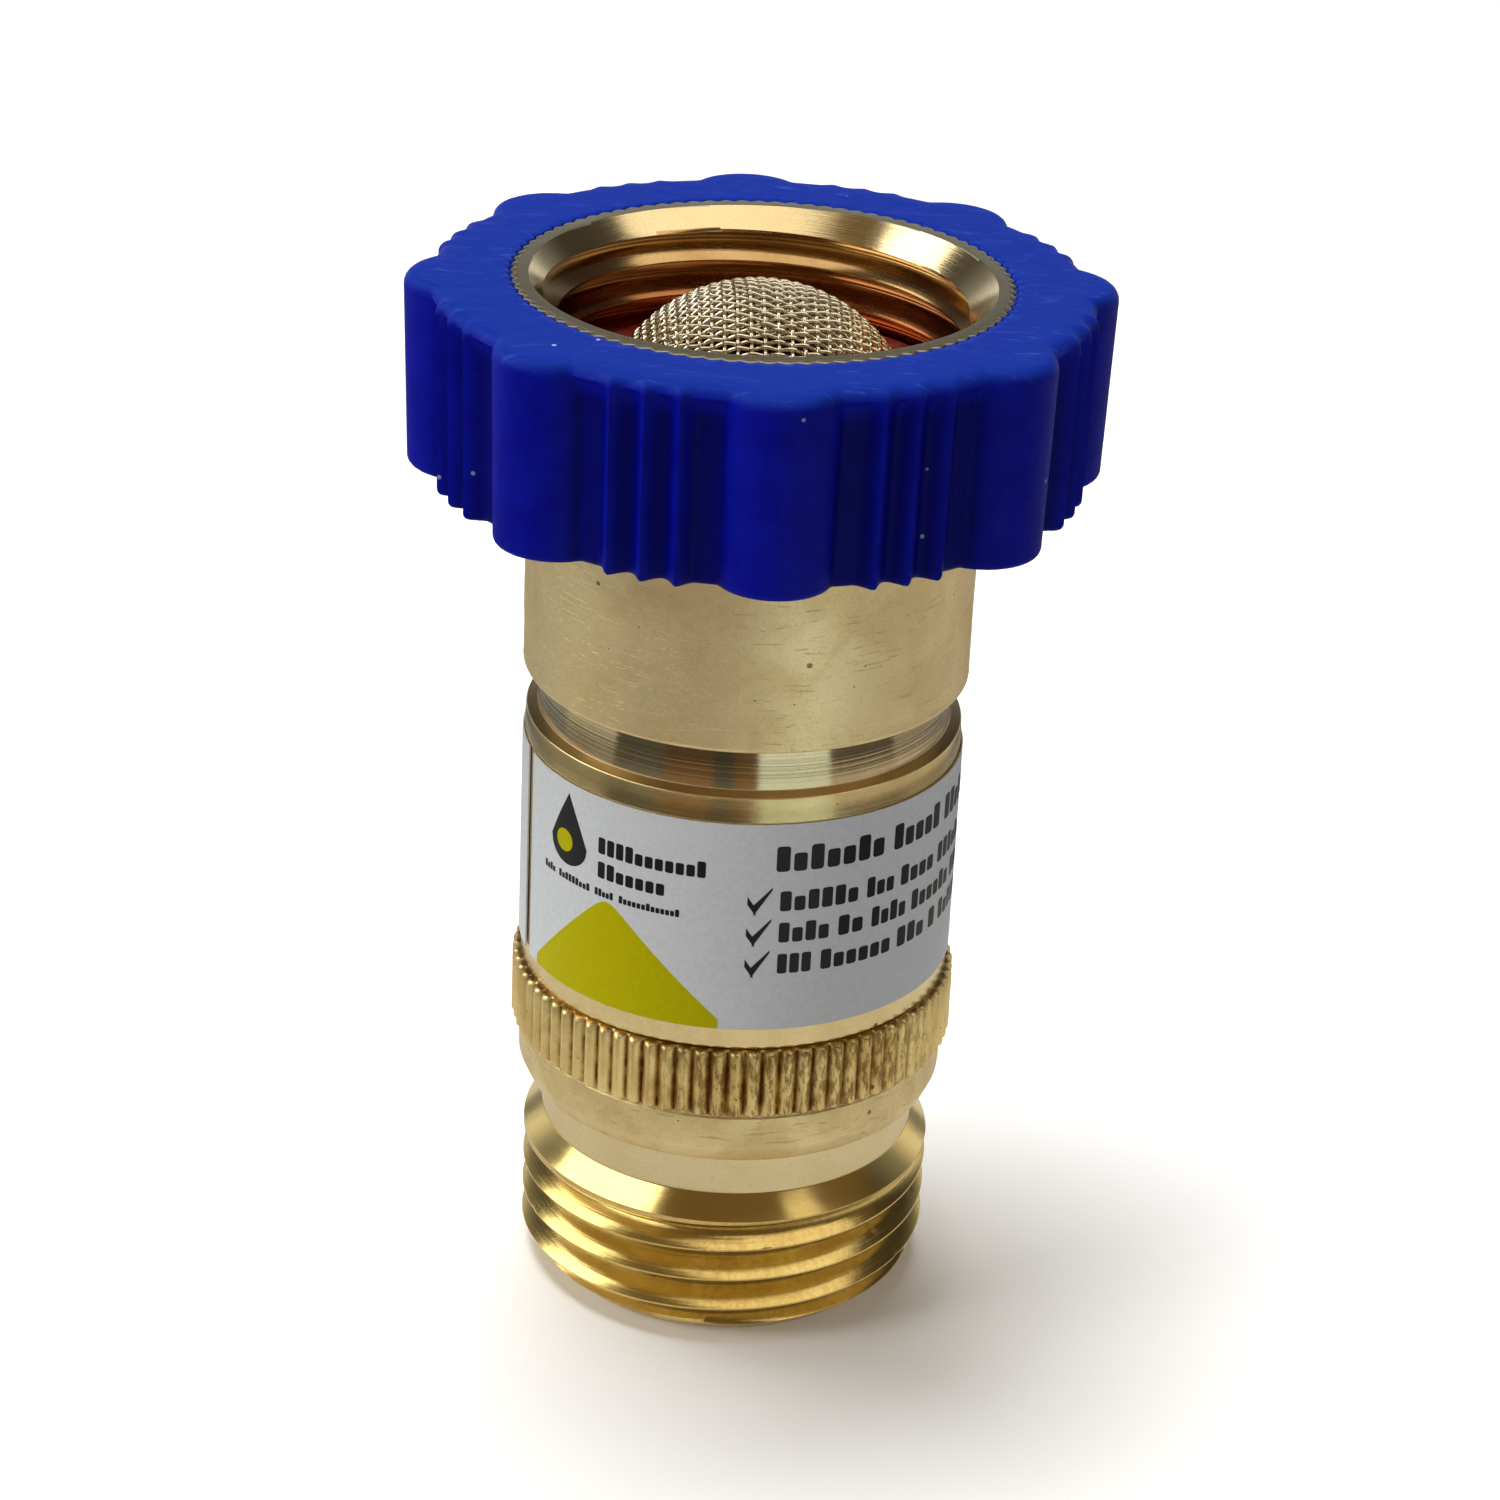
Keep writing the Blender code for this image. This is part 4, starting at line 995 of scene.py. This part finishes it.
def seat_pieces():
    low, high, _, outer = extent("seat_carrier")
    corners = [(1.0, high), (outer, high, 0.25), (outer, low, 0.25), (4.1, low), (4.1, 51.9),
               (1.0, 51.9)]
    carrier = turned("seat_carrier_plate", corners, 128, "seat_carrier", "turned")
    turns = np.arange(PORTS) + 0.5
    ports = around(np.full(PORTS, PORT_CIRCLE_RADIUS), math.tau * turns / PORTS, np.zeros(PORTS))
    cut(carrier, *[rod((x, y, low - 1), (x, y, high + 1), PORT_RADIUS) for x, y, _ in ports])
    low, high, inner, outer = extent("seat_disc")
    corners = [(inner, low), (outer, low, 0.2), (outer, high, 0.2), (inner, high)]
    turned("seat_disc_rubber", corners, 96, "seat_disc", "black_rubber")
    low, high, _, outer = extent("seat_screw")
    corners = [(0, low, 0), (1.4, low, 0.15), (outer, low + 0.3, 0.15), (outer, low + 0.65, 0.1),
               (0.9, low + 0.65, 0.08), (0.9, high, 0.2), (0, high, 0)]
    screw = turned("seat_screw_slotted", corners, 64, "seat_screw", "stainless")
    slot = [(x, y, z) for x in (-0.2, 0.2) for y in (-2.5, 2.5) for z in (low - 0.5, low + 0.3)]
    sides = [[0, 1, 3, 2], [4, 6, 7, 5], [0, 4, 5, 1], [2, 3, 7, 6], [0, 2, 6, 4], [1, 5, 7, 3]]
    cut(screw, (np.array(slot), sides))


def piston():
    low, high, bore, outer = extent("piston")
    corners = [
        (bore, low, 0.2), (outer, low, 0.45), (outer, 20.6, 0.1), (8.6, 20.6, 0.15),
        (8.6, 23.0, 0.15), (outer, 23.0, 0.1), (outer, 25.5, 0.2), (3.95, 25.5, 0.35),
        (3.95, 44.75, 0.08), (2.9, 44.75, 0.15), (2.9, 46.25, 0.15), (3.95, 46.25, 0.08),
        (3.95, 47.6, 0.3), (2.8, high, 0.08), (2.5, high, 0.05), (2.5, 47.8), (bore, 47.2, 0.2),
    ]
    turned("piston_turned", corners, 160, "piston", "turned")


def spring():
    low, high, inner, outer = extent("spring")
    wire, middle = (outer - inner) / 2, (outer + inner) / 2
    open_pitch = (high - low - 2 * wire - 2 * CLOSED_PITCH) / (SPRING_TURNS - 2)
    turn = np.linspace(0, SPRING_TURNS, 241)
    closed = np.minimum(turn, 1) + np.maximum(turn - SPRING_TURNS + 1, 0)
    height = low + wire + CLOSED_PITCH * closed + open_pitch * (turn - closed)
    path = around(middle, turn * math.tau, height)
    coil = piece("spring_coil", tube(path, wire, 16), "spring",
                 ["spring"])
    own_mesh(coil)


def simple_rings():
    low, high, inner, outer = extent("spring_shim")
    corners = [(inner, low), (outer, low), (outer, high), (inner, high)]
    turned("spring_shim_washer", corners, 128, "spring_shim", "stainless")
    low, high, inner, outer = extent("guide_bush")
    corners = [(inner, low, 0.2), (outer, low), (outer, low + 0.85), (5.2, low + 0.85),
               (5.2, high, 0.2), (inner, high, 0.2)]
    turned("guide_bush_moulded", corners, 128, "guide_bush", "acetal")


# ---------------------------------------------------------------- stage

def sheet_material(name, build):
    material = bpy.data.materials.new(name)
    material.use_nodes = True
    build(material.node_tree)
    return material


def floor():
    sides = (-1, -1), (1, -1), (1, 1), (-1, 1)
    corners = [(x * FLOOR_SIDE, y * FLOOR_SIDE, 0) for x, y in sides]
    item = placed("floor", corners, [(0, 1, 2, 3)])

    def build(tree):
        shader = tree.nodes["Principled BSDF"]
        shader.inputs["Base Color"].default_value = (0.93, 0.93, 0.925, 1.0)
        shader.inputs["Roughness"].default_value = 0.6
        shader.inputs["Emission Color"].default_value = (1.0, 1.0, 1.0, 1.0)
        shader.inputs["Emission Strength"].default_value = 0.08

    item.data.materials.append(sheet_material("floor_paper", build))
    item.visible_diffuse = False


def glow_card(name, points, faces, colour, strength):
    """A glowing sheet that only reflections see."""
    item = placed(name, points, faces)

    def build(tree):
        tree.nodes.remove(tree.nodes["Principled BSDF"])
        glow = add(tree, "Emission", Color=(*colour, 1.0), Strength=strength)
        tree.links.new(glow.outputs[0], tree.nodes["Material Output"].inputs["Surface"])

    item.data.materials.append(sheet_material(name, build))
    item.visible_camera = False
    item.visible_shadow = False
    item.visible_diffuse = False


def floor_card(name, inner, outer, start, stop, colour, strength):
    """A flat sector on the floor, between two angles counted from the front to the right."""
    angle = np.radians(-90 + np.linspace(start, stop, CARD_STEPS))
    ring = [around(radius, angle, np.full(CARD_STEPS, 0.5)) for radius in (inner, outer)]
    points = (np.vstack(ring) * MM).tolist()
    faces = [(i, i + 1, CARD_STEPS + i + 1, CARD_STEPS + i) for i in range(CARD_STEPS - 1)]
    glow_card("floor_card_" + name, points, faces, colour, strength)


def ceiling_card(name, corners, colour, strength):
    """A flat polygon hung level over the object."""
    points = [(x, y, CEILING) for x, y in corners]
    glow_card(name, points, [tuple(range(len(points)))], colour, strength)


def softbox(name, place, target, width, height, power, colour=(1, 1, 1)):
    light = bpy.data.lights.new(name, "AREA")
    light.shape = "RECTANGLE"
    light.size, light.size_y = width, height
    light.energy = power
    light.color = colour
    item = bpy.data.objects.new(name, light)
    bpy.context.scene.collection.objects.link(item)
    item.location = place
    item.rotation_euler = (Vector(target) - Vector(place)).to_track_quat("-Z", "Y").to_euler()
    item.visible_glossy = False


def stage():
    floor()
    # The barrel reflects the inner ring, the groove the middle one, the cylinder the outer one.
    # (start, stop, colour, strength of the inner, middle and outer ring)
    sectors = [
        (-180, -110, (0.50, 0.52, 0.50), 0.60, 0.10, 0.50),
        (-110, -70, (0.60, 0.58, 0.50), 0.80, 0.08, 0.46),
        (-70, -40, (0.52, 0.50, 0.42), 0.16, 0.06, 0.30),
        (-40, -14, (0.75, 0.47, 0.26), 0.10, 0.11, 0.30),
        (-14, -3, (0.42, 0.43, 0.34), 0.10, 0.09, 0.26),
        (-3, 9, (0.75, 0.45, 0.22), 0.14, 0.09, 0.30),
        (9, 47, (0.88, 1.0, 0.94), 0.85, 0.13, 0.80),
        (47, 88, (0.95, 0.86, 0.72), 0.10, 0.06, 0.50),
        (88, 135, (0.9, 0.84, 0.74), 0.36, 0.05, 0.62),
        (135, 180, (0.6, 0.6, 0.58), 0.40, 0.18, 0.45),
    ]
    under = 16, RING_EDGES[0]
    rings = list(zip(RING_EDGES, RING_EDGES[1:]))
    for number, (start, stop, colour, *strengths) in enumerate(sectors):
        for ring, ((inner, outer), strength) in enumerate(zip(rings, strengths)):
            floor_card(f"{number}_{ring}", inner, outer, start, stop, colour, strength)
    floor_card("under", *under, -180, 180, (1.0, 0.97, 0.90), 0.70)
    softbox("key_overhead", (-0.10, 0.12, 0.75), (0, 0, 0.03), 0.50, 0.34, 7.5)
    softbox("left_window", (-0.55, -0.22, 0.36), (0, 0, 0.04), 0.25, 0.34, 1.6, (1.0, 0.99, 0.97))
    ceiling_card("overhead_card", [(0.0, -0.44), (0.50, -0.42), (0.78, -0.20), (0.47, 0.13),
                                   (0.40, 0.26), (-0.24, 0.26), (-0.20, -0.10)],
                 (1.0, 0.95, 0.84), 1.35)
    ceiling_card("left_front_card", [(-0.46, -0.62), (-0.46, -0.42), (-0.75, -0.22), (-1.05, 0.0),
                                     (-1.50, 0.34), (-2.0, 0.30), (-1.4, -0.60), (-0.8, -0.75)],
                 (1.0, 1.0, 0.95), 3.0)
    ceiling_card("left_back_card", [(-0.38, 0.02), (-0.47, 0.22), (-0.60, 0.42), (-1.0, 0.60),
                                    (-1.50, 0.66), (-1.50, 0.34), (-1.05, 0.0), (-0.75, -0.08)],
                 (1.0, 1.0, 0.95), 3.6)
    ceiling_card("right_card", [(0.44, -0.58), (0.68, -0.52), (0.72, -0.30), (0.46, -0.42)],
                 (1.0, 0.93, 0.80), 0.90)
    world = bpy.data.worlds.new("studio")
    world.use_nodes = True
    bpy.context.scene.world = world
    tree = world.node_tree
    direction = add(tree, "TexCoord").outputs["Generated"]
    rise = add(tree, "SeparateXYZ", Vector=direction).outputs["Z"]
    sky = blend_colours(tree, spread(tree, rise, 0.06, 0.26), (0.85, 0.85, 0.84),
                        (0.20, 0.21, 0.22))
    behind = spread(tree, add(tree, "SeparateXYZ", Vector=direction).outputs["Y"], -0.15, 0.25)
    above = blend_colours(tree, behind, (0.15, 0.105, 0.05), (0.05, 0.045, 0.04))
    sky = blend_colours(tree, spread(tree, rise, 0.24, 0.45), sky, above)
    bounce = maths(tree, "LESS_THAN", rise, 0.0)
    colour = blend_colours(tree, bounce, sky, (0.38, 0.39, 0.40))
    connect(tree, colour, tree.nodes["Background"].inputs["Color"])


def camera():
    data = bpy.data.cameras.new("camera")
    data.sensor_width = 36.0
    data.lens = 93.82
    data.clip_start = 0.01
    item = bpy.data.objects.new("camera", data)
    bpy.context.scene.collection.objects.link(item)
    look_down, look_right, roll = 25.36, 0.13, 2.72
    turn = Matrix.Rotation(math.radians(-look_right), 4, "Z")
    turn = turn @ Matrix.Rotation(math.radians(90 - look_down), 4, "X")
    turn = turn @ Matrix.Rotation(math.radians(roll), 4, "Z")
    item.matrix_world = Matrix.Translation((0, -0.22374, 0.14207)) @ turn
    bpy.context.scene.camera = item


camera()
MATERIALS = make_materials()
for build_part in (outlet_body, inlet_body, label, swivel_nut, grip_collar, screen, seat_pieces,
                   piston, spring, simple_rings):
    build_part()
for seal_node in ("stem_o_ring", "piston_o_ring", "body_o_ring"):
    seal(seal_node)
for ring_node in ("carrier_retaining_ring", "swivel_snap_ring"):
    open_ring(ring_node)
stage()
bpy.context.scene.view_settings.view_transform = "Standard"
